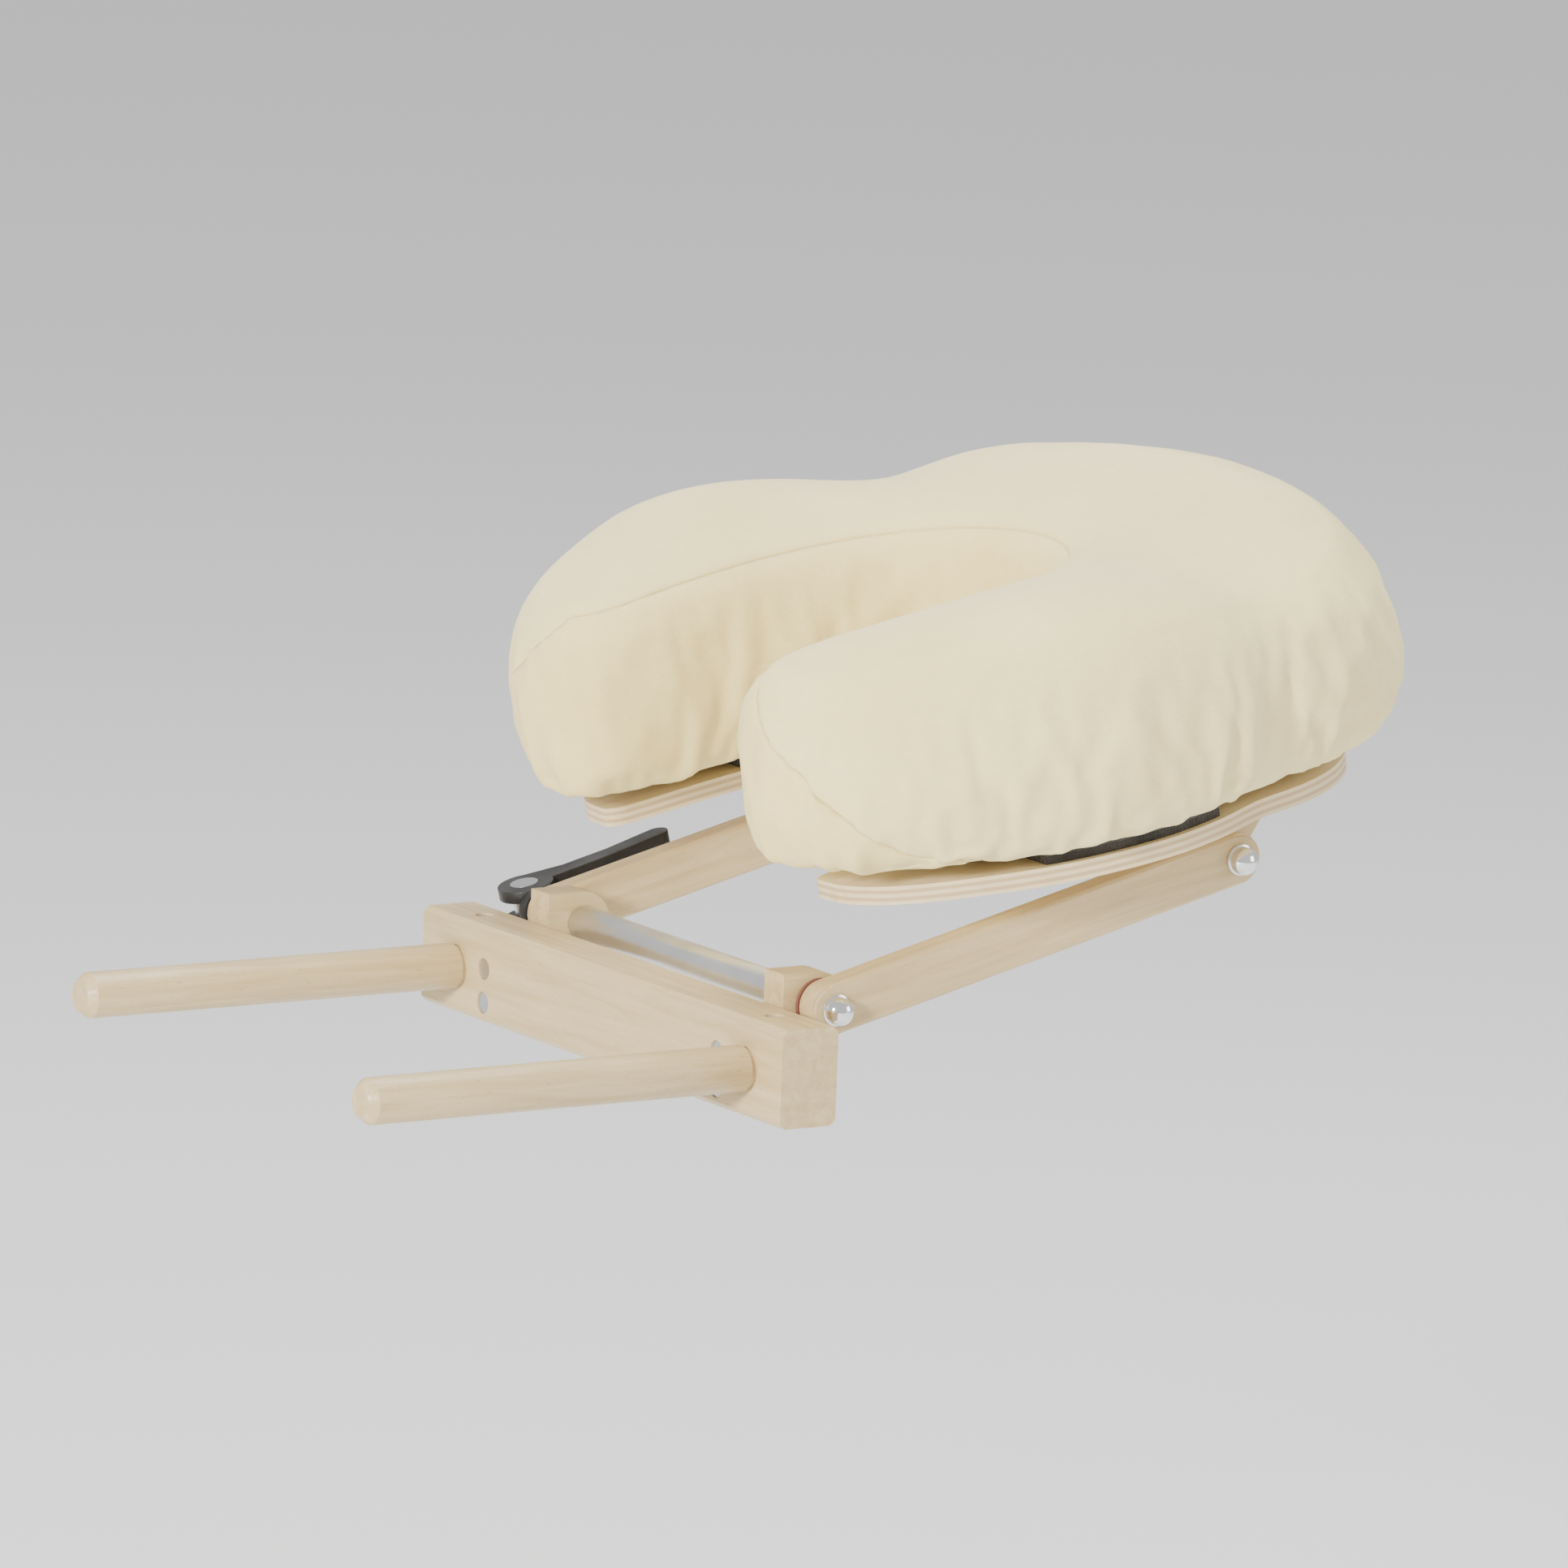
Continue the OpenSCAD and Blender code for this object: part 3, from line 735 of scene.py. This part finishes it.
# %% Stitches
def stitches(name, line, up, gap=3.1, long=2.1, thick=0.28):
    """A closed row of short threads along a line in millimetres; up is its normal."""
    closed = np.vstack([line, line[:1]])
    far = np.concatenate([[0], np.cumsum(np.linalg.norm(np.diff(closed, axis=0), axis=1))])
    count = int(far[-1] / gap)
    points, faces = [], []
    ups = np.vstack([up, up[:1]])
    for n in range(count):
        at = n * far[-1] / count
        ends = [np.array([np.interp(at + d, far, closed[:, k]) for k in range(3)])
                for d in (0, long)]
        rise = np.array([np.interp(at, far, ups[:, k]) for k in range(3)])
        way = (ends[1] - ends[0]) / np.linalg.norm(ends[1] - ends[0])
        wide = np.cross(way, rise)
        first = len(points)
        for share, size in ((0, 0.35), (0.25, 1), (0.75, 1), (1, 0.35)):
            middle = ends[0] + (ends[1] - ends[0]) * share + rise * thick * 0.5 * size
            for k in range(6):
                a = k / 6 * 2 * math.pi
                points.append(middle + (wide * math.cos(a) + rise * math.sin(a)) * thick * size)
        for ring_no in range(3):
            low = first + ring_no * 6
            faces += [(low + k, low + (k + 1) % 6, low + 6 + (k + 1) % 6, low + 6 + k)
                      for k in range(6)]
        faces += [tuple(range(first + 5, first - 1, -1)), tuple(range(first + 18, first + 24))]
    return piece(name, placed(np.array(points)), faces)


# %% Hem, elastic and thread
HEM_LEVEL, STITCH_LEVEL, WELT_LEVEL = 3.5, 4, 6.8
channel = sweep("hem_channel", hem_line, 4.2, 1.15, HEM_LEVEL, corners=10, ripple=1.1)
band = sweep("elastic_band", hem_line, 2.5, 0.45, HEM_LEVEL, corners=8)
stitch_line = np.column_stack([insets[STITCH_INSET], np.full(columns, STITCH_LEVEL)])
down = np.tile([0.0, 0, -1], (columns, 1))
hem_thread = stitches("hem_stitching", stitch_line, down)
print("hem", round(np.linalg.norm(hem_line - np.roll(hem_line, 1, 0), axis=1).sum()), "mm round")

# %% [markdown]
# ## The padded cushion
# Inside the cover the cushion is a firm foam base with a soft layer on top, wrapped in vinyl.
# The vinyl is the same loaf a little smaller, closed below, with a welt sewn round its lower
# edge. Boxes would do for foam that nobody sees, but the layers are pieces of their own, so they
# are cut from a still smaller loaf, at the height where the two are glued.

# %% Vinyl and foam
VINYL_INSIDE, FOAM_INSIDE = 2.1, 3.6
FOAM_JOIN, GLUE = 30, 0.3
vinyl_points, vinyl_faces = loaf(VINYL_INSIDE, bottom=True)
vinyl = piece("vinyl_cushion_skin", placed(vinyl_points), vinyl_faces)
welt = sweep("vinyl_welt", insets[WELT_INSET], 1.1, 1.1, WELT_LEVEL, corners=8)
foam_points, foam_faces = loaf(FOAM_INSIDE, bottom=True)


def foam_layer(name, low, high):
    """The part of the foam between two heights, closed where it is cut."""
    made = bmesh.new()
    corners = [made.verts.new(p) for p in foam_points]
    for face in foam_faces:
        made.faces.new([corners[i] for i in face])
    for level, way in ((low, -1), (high, 1)):
        if level is None:
            continue
        everything = made.verts[:] + made.edges[:] + made.faces[:]
        done = bmesh.ops.bisect_plane(made, geom=everything, plane_co=(0, 0, level),
                                      plane_no=(0, 0, way), clear_outer=True)
        rim = [e for e in done["geom_cut"] if isinstance(e, bmesh.types.BMEdge)]
        bmesh.ops.triangle_fill(made, use_beauty=True, edges=rim)
    bmesh.ops.recalc_face_normals(made, faces=made.faces[:])
    made.transform(Matrix([[*(Vector(along) * MM), 0], [0, 1 * MM, 0, 0],
                           [*(Vector(lift) * MM), 0], [0, 0, 0, 1]]).transposed())
    data = bpy.data.meshes.new(name)
    made.to_mesh(data)
    made.free()
    data.transform(Matrix.Translation(pad_origin))
    ob = bpy.data.objects.new(name, data)
    scene.collection.objects.link(ob)
    return ob


firm = foam_layer("firm_foam_base", None, FOAM_JOIN)
soft = foam_layer("soft_foam_top", FOAM_JOIN + GLUE, None)
print("foam faces: firm", len(firm.data.polygons), "soft", len(soft.data.polygons))

# %% [markdown]
# ## Finishes
# Every finish is a small node tree on one shader: a colour that wanders a little, a roughness
# that follows it, and a bump at the material's own scale. Pictures of cloth or wood could be
# wrapped on, but nodes need no file and have no seams. Patterns are laid out in the model's own
# metres, so a millimetre of grain stays a millimetre whatever piece it is on.

# %% Finish helpers
def new_finish(name, **sockets):
    """A material with its shader's plain sockets set."""
    made = bpy.data.materials.new(name)
    made.use_nodes = True
    shader = made.node_tree.nodes["Principled BSDF"]
    for socket, value in sockets.items():
        shader.inputs[socket.replace("_", " ")].default_value = value
    return made


def add(made, kind, joined=None, settings=None, values=None):
    """A node with some of its inputs joined to other nodes' outputs."""
    node = made.node_tree.nodes.new(kind)
    for name, value in (settings or {}).items():
        setattr(node, name, value)
    for socket, value in (values or {}).items():
        node.inputs[socket].default_value = value
    for socket, output in (joined or {}).items():
        made.node_tree.links.new(output, node.inputs[socket])
    return node


def join(made, output, socket):
    made.node_tree.links.new(output, made.node_tree.nodes["Principled BSDF"].inputs[socket])


def places(made, turn=0.0, stretch=(1, 1, 1)):
    """Positions in metres, turned about the across axis and stretched, for patterns."""
    where = add(made, "ShaderNodeTexCoord").outputs["Object"]
    return add(made, "ShaderNodeMapping", {"Vector": where}, {"vector_type": "TEXTURE"},
               {"Rotation": (0, turn, 0), "Scale": stretch}).outputs[0]


# %% Pattern helpers
def noise(made, vector, scale, detail=4, rough=0.55, twist=0.0):
    return add(made, "ShaderNodeTexNoise", {"Vector": vector}, None,
               {"Scale": scale, "Detail": detail, "Roughness": rough,
                "Distortion": twist}).outputs["Fac"]


def ramp(made, source, stops):
    """Colours or greys along a value."""
    node = add(made, "ShaderNodeValToRGB", {"Fac": source})
    steps = node.color_ramp.elements
    while len(steps) < len(stops):
        steps.new(0.5)
    for step, (at, colour) in zip(steps, stops):
        step.position = at
        step.color = (*colour, 1) if isinstance(colour, tuple) else (colour, colour, colour, 1)
    return node.outputs["Color"]


def feed(made, node, values):
    """Sets a node's numbered inputs to plain numbers or to other nodes' outputs."""
    for socket, value in values.items():
        if isinstance(value, (float, int)):
            node.inputs[socket].default_value = value
        else:
            made.node_tree.links.new(value, node.inputs[socket])


def blend_colours(made, kind, share, one, two):
    """Mixes two colours; kind is MIX or MULTIPLY."""
    node = add(made, "ShaderNodeMix", None, {"data_type": "RGBA", "blend_type": kind})
    feed(made, node, {0: share, 6: one, 7: two})
    return node.outputs[2]


def maths(made, kind, one, two):
    node = add(made, "ShaderNodeMath", None, {"operation": kind})
    feed(made, node, {0: one, 1: two})
    return node.outputs[0]


def raise_surface(made, height, depth, strength=1.0, under=None):
    """A bump of a depth in metres, on top of another bump if one is given."""
    node = add(made, "ShaderNodeBump", {"Height": height}, None,
               {"Strength": strength, "Distance": depth})
    if under:
        made.node_tree.links.new(under, node.inputs["Normal"])
    return node.outputs["Normal"]


# %% [markdown]
# ## Cream cotton
# The cover is brushed cotton: threads cross about every half millimetre, the nap scatters light
# at its edges, which is what sheen does, and old washing leaves faint cloudy patches. The weave
# is two sine waves multiplied, which is how threads go over and under. A brick or checker
# pattern would be quicker, but its edges are too hard for yarn.

# %% Cotton
# The slot lining's colour is the cover's cream made warmer and a little deeper: painted warm light,
# bounced between the slot's cream walls.
CREAM, SLOT_CREAM_WARM_LIT = (0.95, 0.80, 0.385), (0.95, 0.775, 0.335)
THREAD = 0.00055


def cotton(name, colour, warm):
    made = new_finish(name, Roughness=0.85, Sheen_Weight=0.22, Sheen_Roughness=0.5,
                      Specular_IOR_Level=0.25)
    where = places(made)
    thread_map = add(made, "ShaderNodeUVMap", None, {"uv_map": "weave"}).outputs[0]
    parts = add(made, "ShaderNodeSeparateXYZ", {"Vector": thread_map})
    turns = 2 * math.pi / THREAD
    warp = maths(made, "SINE", maths(made, "MULTIPLY", parts.outputs[0], turns), 0.0)
    weft = maths(made, "SINE", maths(made, "MULTIPLY", parts.outputs[1], turns), 0.0)
    weave = maths(made, "ADD", maths(made, "MULTIPLY", warp, weft), maths(made, "ADD", warp, weft))
    nap = noise(made, where, 1500, 3, 0.7)
    cloud = noise(made, where, 16, 3, 0.5)
    slub = noise(made, where, 260, 4, 0.6)
    light = tuple(min(1, c * 1.06) for c in colour)
    tone = ramp(made, cloud, [(0.32, tuple(c * w for c, w in zip(colour, warm))), (0.7, light)])
    threads = ramp(made, slub, [(0.3, 0.93), (0.7, 1.0)])
    join(made, blend_colours(made, "MULTIPLY", 0.8, tone, threads), "Base Color")
    join(made, ramp(made, slub, [(0.3, 0.78), (0.7, 0.93)]), "Roughness")
    fluff = raise_surface(made, nap, 0.00018, 0.5)
    crease = raise_surface(made, noise(made, where, 90, 4, 0.6), 0.0009, 0.35, fluff)
    join(made, raise_surface(made, weave, 0.00005, 0.35, crease), "Normal")
    return made


cover_cotton = cotton("cream_cotton", CREAM, (0.955, 0.945, 0.9))
# The lining's darker cloud tone is warmer too, as part of the same painted warm light.
warm_lit_lining_cotton = cotton("cream_cotton_lining_painted_warm_light", SLOT_CREAM_WARM_LIT, (0.95, 0.93, 0.86))
# The hem is the cover's cream made 4% darker, with a darker cloud tone: painted shade under the
# cushion, where the hem lies.
shaded_hem_cotton = cotton("cream_cotton_hem_painted_shade", tuple(c * 0.96 for c in CREAM), (0.94, 0.92, 0.86))
print("cotton finishes made")

# %% [markdown]
# ## Thread, vinyl, foam and elastic
# These are seen when the cover is off or from below. Thread is a tight twist, vinyl has small
# pebbles with a soft gloss, foam shows its cells, and elastic its ribs. Pebbles and cells are
# round and packed, which is a cell pattern, and noise would look like dust there.

# %% Thread, vinyl, foam and elastic
stitch_thread = new_finish("cream_thread", Roughness=0.6, Sheen_Weight=0.2)
twist = noise(stitch_thread, places(stitch_thread), 2600, 2)
thread_tone = ramp(stitch_thread, twist, [(0.3, (0.62, 0.56, 0.43)), (0.7, (0.8, 0.75, 0.62))])
join(stitch_thread, thread_tone, "Base Color")
join(stitch_thread, raise_surface(stitch_thread, twist, 0.0001, 0.6), "Normal")

vinyl_skin = new_finish("cream_vinyl", Roughness=0.42, Coat_Weight=0.1, Coat_Roughness=0.3)
where = places(vinyl_skin)
pebbles = add(vinyl_skin, "ShaderNodeTexVoronoi", {"Vector": where}, {"feature": "SMOOTH_F1"},
              {"Scale": 1100, "Smoothness": 0.4, "Randomness": 0.9}).outputs["Distance"]
wander = noise(vinyl_skin, where, 25, 3)
vinyl_tone = ramp(vinyl_skin, wander, [(0.3, (0.70, 0.63, 0.47)), (0.7, (0.76, 0.69, 0.53))])
join(vinyl_skin, vinyl_tone, "Base Color")
gloss = noise(vinyl_skin, where, 300)
join(vinyl_skin, ramp(vinyl_skin, gloss, [(0.3, 0.36), (0.7, 0.5)]), "Roughness")
join(vinyl_skin, raise_surface(vinyl_skin, pebbles, 0.0002, 0.5), "Normal")

foam_cells = new_finish("foam_cells", Roughness=0.95, Sheen_Weight=0.1)
where = places(foam_cells)
cells = add(foam_cells, "ShaderNodeTexVoronoi", {"Vector": where}, None,
            {"Scale": 900}).outputs["Distance"]
foam_tone = ramp(foam_cells, cells, [(0.1, (0.72, 0.66, 0.40)), (0.6, (0.86, 0.82, 0.60))])
join(foam_cells, foam_tone, "Base Color")
join(foam_cells, raise_surface(foam_cells, cells, 0.0006, 0.8), "Normal")

elastic_knit = new_finish("elastic_knit", Roughness=0.8, Sheen_Weight=0.2)
where = places(elastic_knit)
ribs = add(elastic_knit, "ShaderNodeTexWave", {"Vector": where}, None,
           {"Scale": 320, "Distortion": 1.0, "Detail": 2}).outputs["Fac"]
elastic_tone = ramp(elastic_knit, ribs, [(0.2, (0.6, 0.57, 0.5)), (0.8, (0.85, 0.83, 0.77))])
join(elastic_knit, elastic_tone, "Base Color")
join(elastic_knit, raise_surface(elastic_knit, ribs, 0.0003, 0.7), "Normal")
print("finishes so far:", len(bpy.data.materials))

# %% [markdown]
# ## Beech
# The swing arms, crossbar and posts are pale beech. A wave pattern gives bold rings like pine,
# and beech has none, so its grain is a noise stretched a great deal along each piece. The
# coordinates are turned to lie along the piece first. Short dark flecks are beech's own mark,
# and the lacquer gives a soft gloss.

# %% Beech
def beech(name, turn, length_axis, light, dark, fleck):
    made = new_finish(name, Roughness=0.45, Coat_Weight=0.25, Coat_Roughness=0.25)
    long_grain = [1.0, 1.0, 1.0]
    long_grain[length_axis] = 14.0
    grain_at = places(made, turn, tuple(long_grain))
    rings_of_wood = noise(made, grain_at, 260, 5, 0.6, 0.4)
    cloud = noise(made, places(made), 22, 3)
    short = [1.0, 1.0, 1.0]
    short[length_axis] = 5.0
    flecks = noise(made, places(made, turn, tuple(short)), 1500, 2, 0.5)
    grain = ramp(made, rings_of_wood, [(0.32, dark), (0.68, light)])
    tone = blend_colours(made, "MULTIPLY", 0.5, grain, ramp(made, cloud, [(0.3, 0.86), (0.7, 1.0)]))
    fleck_mask = ramp(made, flecks, [(0.66, 1.0), (0.72, fleck)])
    join(made, blend_colours(made, "MULTIPLY", 0.7, tone, fleck_mask), "Base Color")
    join(made, ramp(made, rings_of_wood, [(0.3, 0.55), (0.7, 0.38)]), "Roughness")
    pores = raise_surface(made, rings_of_wood, 0.00025, 0.35)
    join(made, raise_surface(made, flecks, 0.0001, 0.3, pores), "Normal")
    return made


BEECH_LIGHT, BEECH_DARK, BEECH_FLECK = (0.66, 0.51, 0.27), (0.53, 0.38, 0.18), (0.72, 0.6, 0.45)
arm_beech = beech("beech_along_arms", -arm_rise, 0, BEECH_LIGHT, BEECH_DARK, BEECH_FLECK)
post_beech = beech("beech_along_posts", 0, 0, BEECH_LIGHT, BEECH_DARK, BEECH_FLECK)
bar_beech = beech("beech_along_crossbar", 0, 1, BEECH_LIGHT, BEECH_DARK, BEECH_FLECK)
bracket_beech = beech("beech_along_brackets", -tilt, 0, BEECH_LIGHT, BEECH_DARK, BEECH_FLECK)

print("beech finishes made")

# %% [markdown]
# ## Birch plywood
# The platform is thin birch plywood. Its edge shows five plies, one above the other, pale and
# dark by turns, because every second one shows its end grain, and its faces show one veneer.
# Separate sheets could be stacked, but bands by height across one board look the same.

# %% Plywood
PALE_TOP, PALE_LOW = (0.80, 0.65, 0.39), (0.77, 0.62, 0.37)
END_TOP, END_LOW = (0.56, 0.41, 0.22), (0.58, 0.43, 0.24)
plywood = new_finish("birch_plywood", Roughness=0.45, Coat_Weight=0.3, Coat_Roughness=0.2)
sheet_at = places(plywood, -tilt)
height = add(plywood, "ShaderNodeSeparateXYZ", {"Vector": sheet_at}).outputs[2]
pad_height = float(Vector(pad_origin).dot(lift))
ply_share = maths(plywood, "MULTIPLY",
                  maths(plywood, "SUBTRACT", height, pad_height - (HOOKS + LOOPS + PLATE) * MM),
                  1 / (PLATE * MM))
plies = ramp(plywood, ply_share, [(0, PALE_TOP), (0.19, PALE_LOW), (0.21, END_TOP),
                                  (0.39, END_LOW), (0.41, PALE_TOP), (0.6, PALE_LOW),
                                  (0.62, END_TOP), (0.79, END_LOW), (0.81, PALE_TOP)])
veneer = noise(plywood, places(plywood, -tilt, (10, 1, 1)), 150, 5, 0.6, 0.5)
veneer_tone = ramp(plywood, veneer, [(0.3, (0.82, 0.76, 0.68)), (0.7, (1, 1, 1))])
join(plywood, blend_colours(plywood, "MULTIPLY", 0.55, plies, veneer_tone), "Base Color")
join(plywood, ramp(plywood, veneer, [(0.3, 0.5), (0.7, 0.38)]), "Roughness")
join(plywood, raise_surface(plywood, veneer, 0.0002, 0.35), "Normal")
print("plies are", round(PLATE / 5, 2), "mm thick")

# %% [markdown]
# ## Metal
# Rods and screws are zinc plated, a bluish grey. The dome nuts are polished. Tubes are drawn
# aluminium with fine lines along them. An anisotropic shader could stretch the highlights, but
# a very shallow bump of stretched noise does it and shows the drawing lines as well.

# %% Metal
def metal(name, dull, bright, rough, stretch, scratch):
    made = new_finish(name, Metallic=1.0)
    lines = noise(made, places(made, 0, stretch), 900, 3, 0.6)
    smudge = noise(made, places(made), 60, 3)
    join(made, ramp(made, smudge, [(0.3, dull), (0.7, bright)]), "Base Color")
    join(made, ramp(made, blend_colours(made, "MIX", 0.5, lines, smudge),
                    [(0.3, rough[0]), (0.7, rough[1])]), "Roughness")
    join(made, raise_surface(made, lines, scratch, 0.3), "Normal")
    return made


zinc = metal("zinc_plate", (0.52, 0.53, 0.55), (0.66, 0.67, 0.68), (0.24, 0.38),
             stretch=(1, 6, 1), scratch=0.00003)
polished = metal("polished_nut", (0.78, 0.78, 0.79), (0.86, 0.86, 0.86), (0.07, 0.16),
                 stretch=(1, 1, 1), scratch=0.00001)
drawn_tube = metal("drawn_aluminium", (0.68, 0.69, 0.70), (0.78, 0.79, 0.80), (0.28, 0.42),
                   stretch=(1, 16, 1), scratch=0.00005)
print("metal finishes made")

# %% [markdown]
# ## Plastic, tape and fibre
# Levers and cups are moulded black plastic, and the mould's spark-eroded skin leaves a fine
# matt grain. Hook tape has rows of tiny hooks, loop tape is a fuzzy fleece of the same black,
# and the friction discs are red fibre. Hooks modelled one by one would be thousands of pieces,
# so a cell pattern raised by bump stands for them, at the real tape's spacing.

# %% Plastic, tape and fibre
def moulded(name, dark, light, rough, scale, depth, kind="noise", sheen=0.0):
    made = new_finish(name, Sheen_Weight=sheen, Specular_IOR_Level=0.45)
    where = places(made)
    if kind == "noise":
        texture = noise(made, where, scale, 3, 0.6)
    else:
        texture = add(made, "ShaderNodeTexVoronoi", {"Vector": where}, None,
                      {"Scale": scale, "Randomness": 0.35}).outputs["Distance"]
    wear = noise(made, where, 70, 4)
    tone = ramp(made, wear, [(0.35, dark), (0.75, light)])
    grain = ramp(made, texture, [(0.2, 0.75), (0.7, 1.0)])
    join(made, blend_colours(made, "MULTIPLY", 0.7, tone, grain), "Base Color")
    join(made, ramp(made, wear, [(0.3, rough[0]), (0.7, rough[1])]), "Roughness")
    join(made, raise_surface(made, texture, depth, 0.6), "Normal")
    return made


black_plastic = moulded("black_moulding", (0.018, 0.018, 0.019), (0.035, 0.035, 0.036),
                        (0.5, 0.34), 2600, 0.00008)
hook_tape = moulded("black_hook_tape", (0.02, 0.018, 0.016), (0.045, 0.04, 0.036),
                    (0.85, 0.7), 720, 0.0006, "dots", 0.3)
loop_tape = moulded("black_loop_tape", (0.028, 0.026, 0.024), (0.06, 0.056, 0.05),
                    (0.95, 0.85), 1700, 0.0005, "noise", 0.6)
fibre = moulded("red_fibre_disc", (0.17, 0.06, 0.04), (0.25, 0.09, 0.06),
                (0.8, 0.65), 1400, 0.0001)
print("finishes in all:", len(bpy.data.materials))

# %% [markdown]
# ## Dressing the hard pieces
# The CAD pieces keep their meshes. Real edges are never knife sharp, so a narrow bevel goes on
# each as a modifier, wider on wood, which is sanded, than on metal, and it catches a line of
# light along every edge. A bevel on many thin triangles leaves streaks, so the corners are
# joined and flat faces made whole first. The list says each piece's finish and the bevel's
# width in millimetres.

# %% What each hard piece is made of
dress = {
    "crossbar": (bar_beech, 1.2), "ear_screws": (zinc, 0.2), "post_screws": (zinc, 0.2),
    "friction_discs": (fibre, 0.15), "platform_plate": (plywood, 0.9),
    "bracket_screws": (zinc, 0.2), "end_hook_tape": (hook_tape, 0.25),
    "end_loop_patch": (loop_tape, 0.3)}
for side_name in ("left", "right"):
    dress[side_name + "_post"] = (post_beech, 0.8)
    dress[side_name + "_base_ear"] = (post_beech, 0.4)
    dress[side_name + "_swing_arm"] = (arm_beech, 1.1)
    dress[side_name + "_bracket"] = (bracket_beech, 0.9)
    dress[side_name + "_hook_tape"] = (hook_tape, 0.25)
    dress[side_name + "_loop_patch"] = (loop_tape, 0.3)
for pivot in ("base", "tilt"):
    dress[pivot + "_pivot_rod"] = (zinc, 0.25)
    dress[pivot + "_spacer_tube"] = (drawn_tube, 0.25)
    dress[pivot + "_dome_nut"] = (polished, 0.3)
    dress[pivot + "_cam_cup"] = (black_plastic, 0.25)
    dress[pivot + "_barrel_pin"] = (zinc, 0.3)
    dress[pivot + "_lock_lever"] = (black_plastic, 0.7)
print(len(dress), "of", len(cad), "CAD pieces keep their mesh")

# %% Dress the hard pieces
SAME_CORNER = 0.00001
SAME_FACE, SHARP = math.radians(0.5), math.radians(35)
for node, (finish, edge) in dress.items():
    ob = bpy.data.objects[node]
    if ob.material_slots:
        for place in ob.material_slots:
            place.material = finish
    else:
        ob.data.materials.append(finish)
    weld = ob.modifiers.new("join_corners", "WELD")
    weld.merge_threshold = SAME_CORNER
    flat = ob.modifiers.new("flat_faces", "DECIMATE")
    flat.decimate_type = "DISSOLVE"
    flat.angle_limit = SAME_FACE
    bevel = ob.modifiers.new("worn_edges", "BEVEL")
    bevel.width = edge * MM
    bevel.segments = 2
    bevel.limit_method = "ANGLE"
    bevel.angle_limit = SHARP
print("dressed:", ", ".join(sorted(dress)[:4]), "and", len(dress) - 4, "more")

# %% [markdown]
# ## Putting the soft pieces on the cushion
# Each soft piece rides on the cushion body, so it lifts off with it, and stands for the plain
# CAD solid whose place it takes. It could be parented to an empty, but riding by name is what
# carries it through every pose.

# %% Ride, replace and declare
for ob, finish, slot in (
        (panel, cover_cotton, "cover_cloth"), (strip, warm_lit_lining_cotton, "cover_cloth"),
        (channel, shaded_hem_cotton, "cover_cloth"), (hem_thread, stitch_thread, "cover_cloth"),
        (band, elastic_knit, "elastic"), (vinyl, vinyl_skin, "vinyl"), (welt, vinyl_skin, "vinyl"),
        (firm, foam_cells, "foam"), (soft, foam_cells, "foam")):
    ob.data.materials.append(finish)
    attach(ob, "cushion")
    print(ob.name, "rides on the cushion, finish", slot)
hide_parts("cover_panel")
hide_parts("cover_slot_strip")
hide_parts("hem_elastic")
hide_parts("vinyl_upholstery")
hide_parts("firm_foam")
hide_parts("soft_foam")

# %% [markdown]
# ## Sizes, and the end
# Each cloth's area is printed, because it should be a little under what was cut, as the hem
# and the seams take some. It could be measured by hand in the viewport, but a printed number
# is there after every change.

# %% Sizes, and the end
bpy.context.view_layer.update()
for ob in (panel, strip):
    seen = ob.evaluated_get(bpy.context.evaluated_depsgraph_get()).to_mesh()
    print(ob.name, "area", round(sum(f.area for f in seen.polygons) / 2, 4), "square metres")
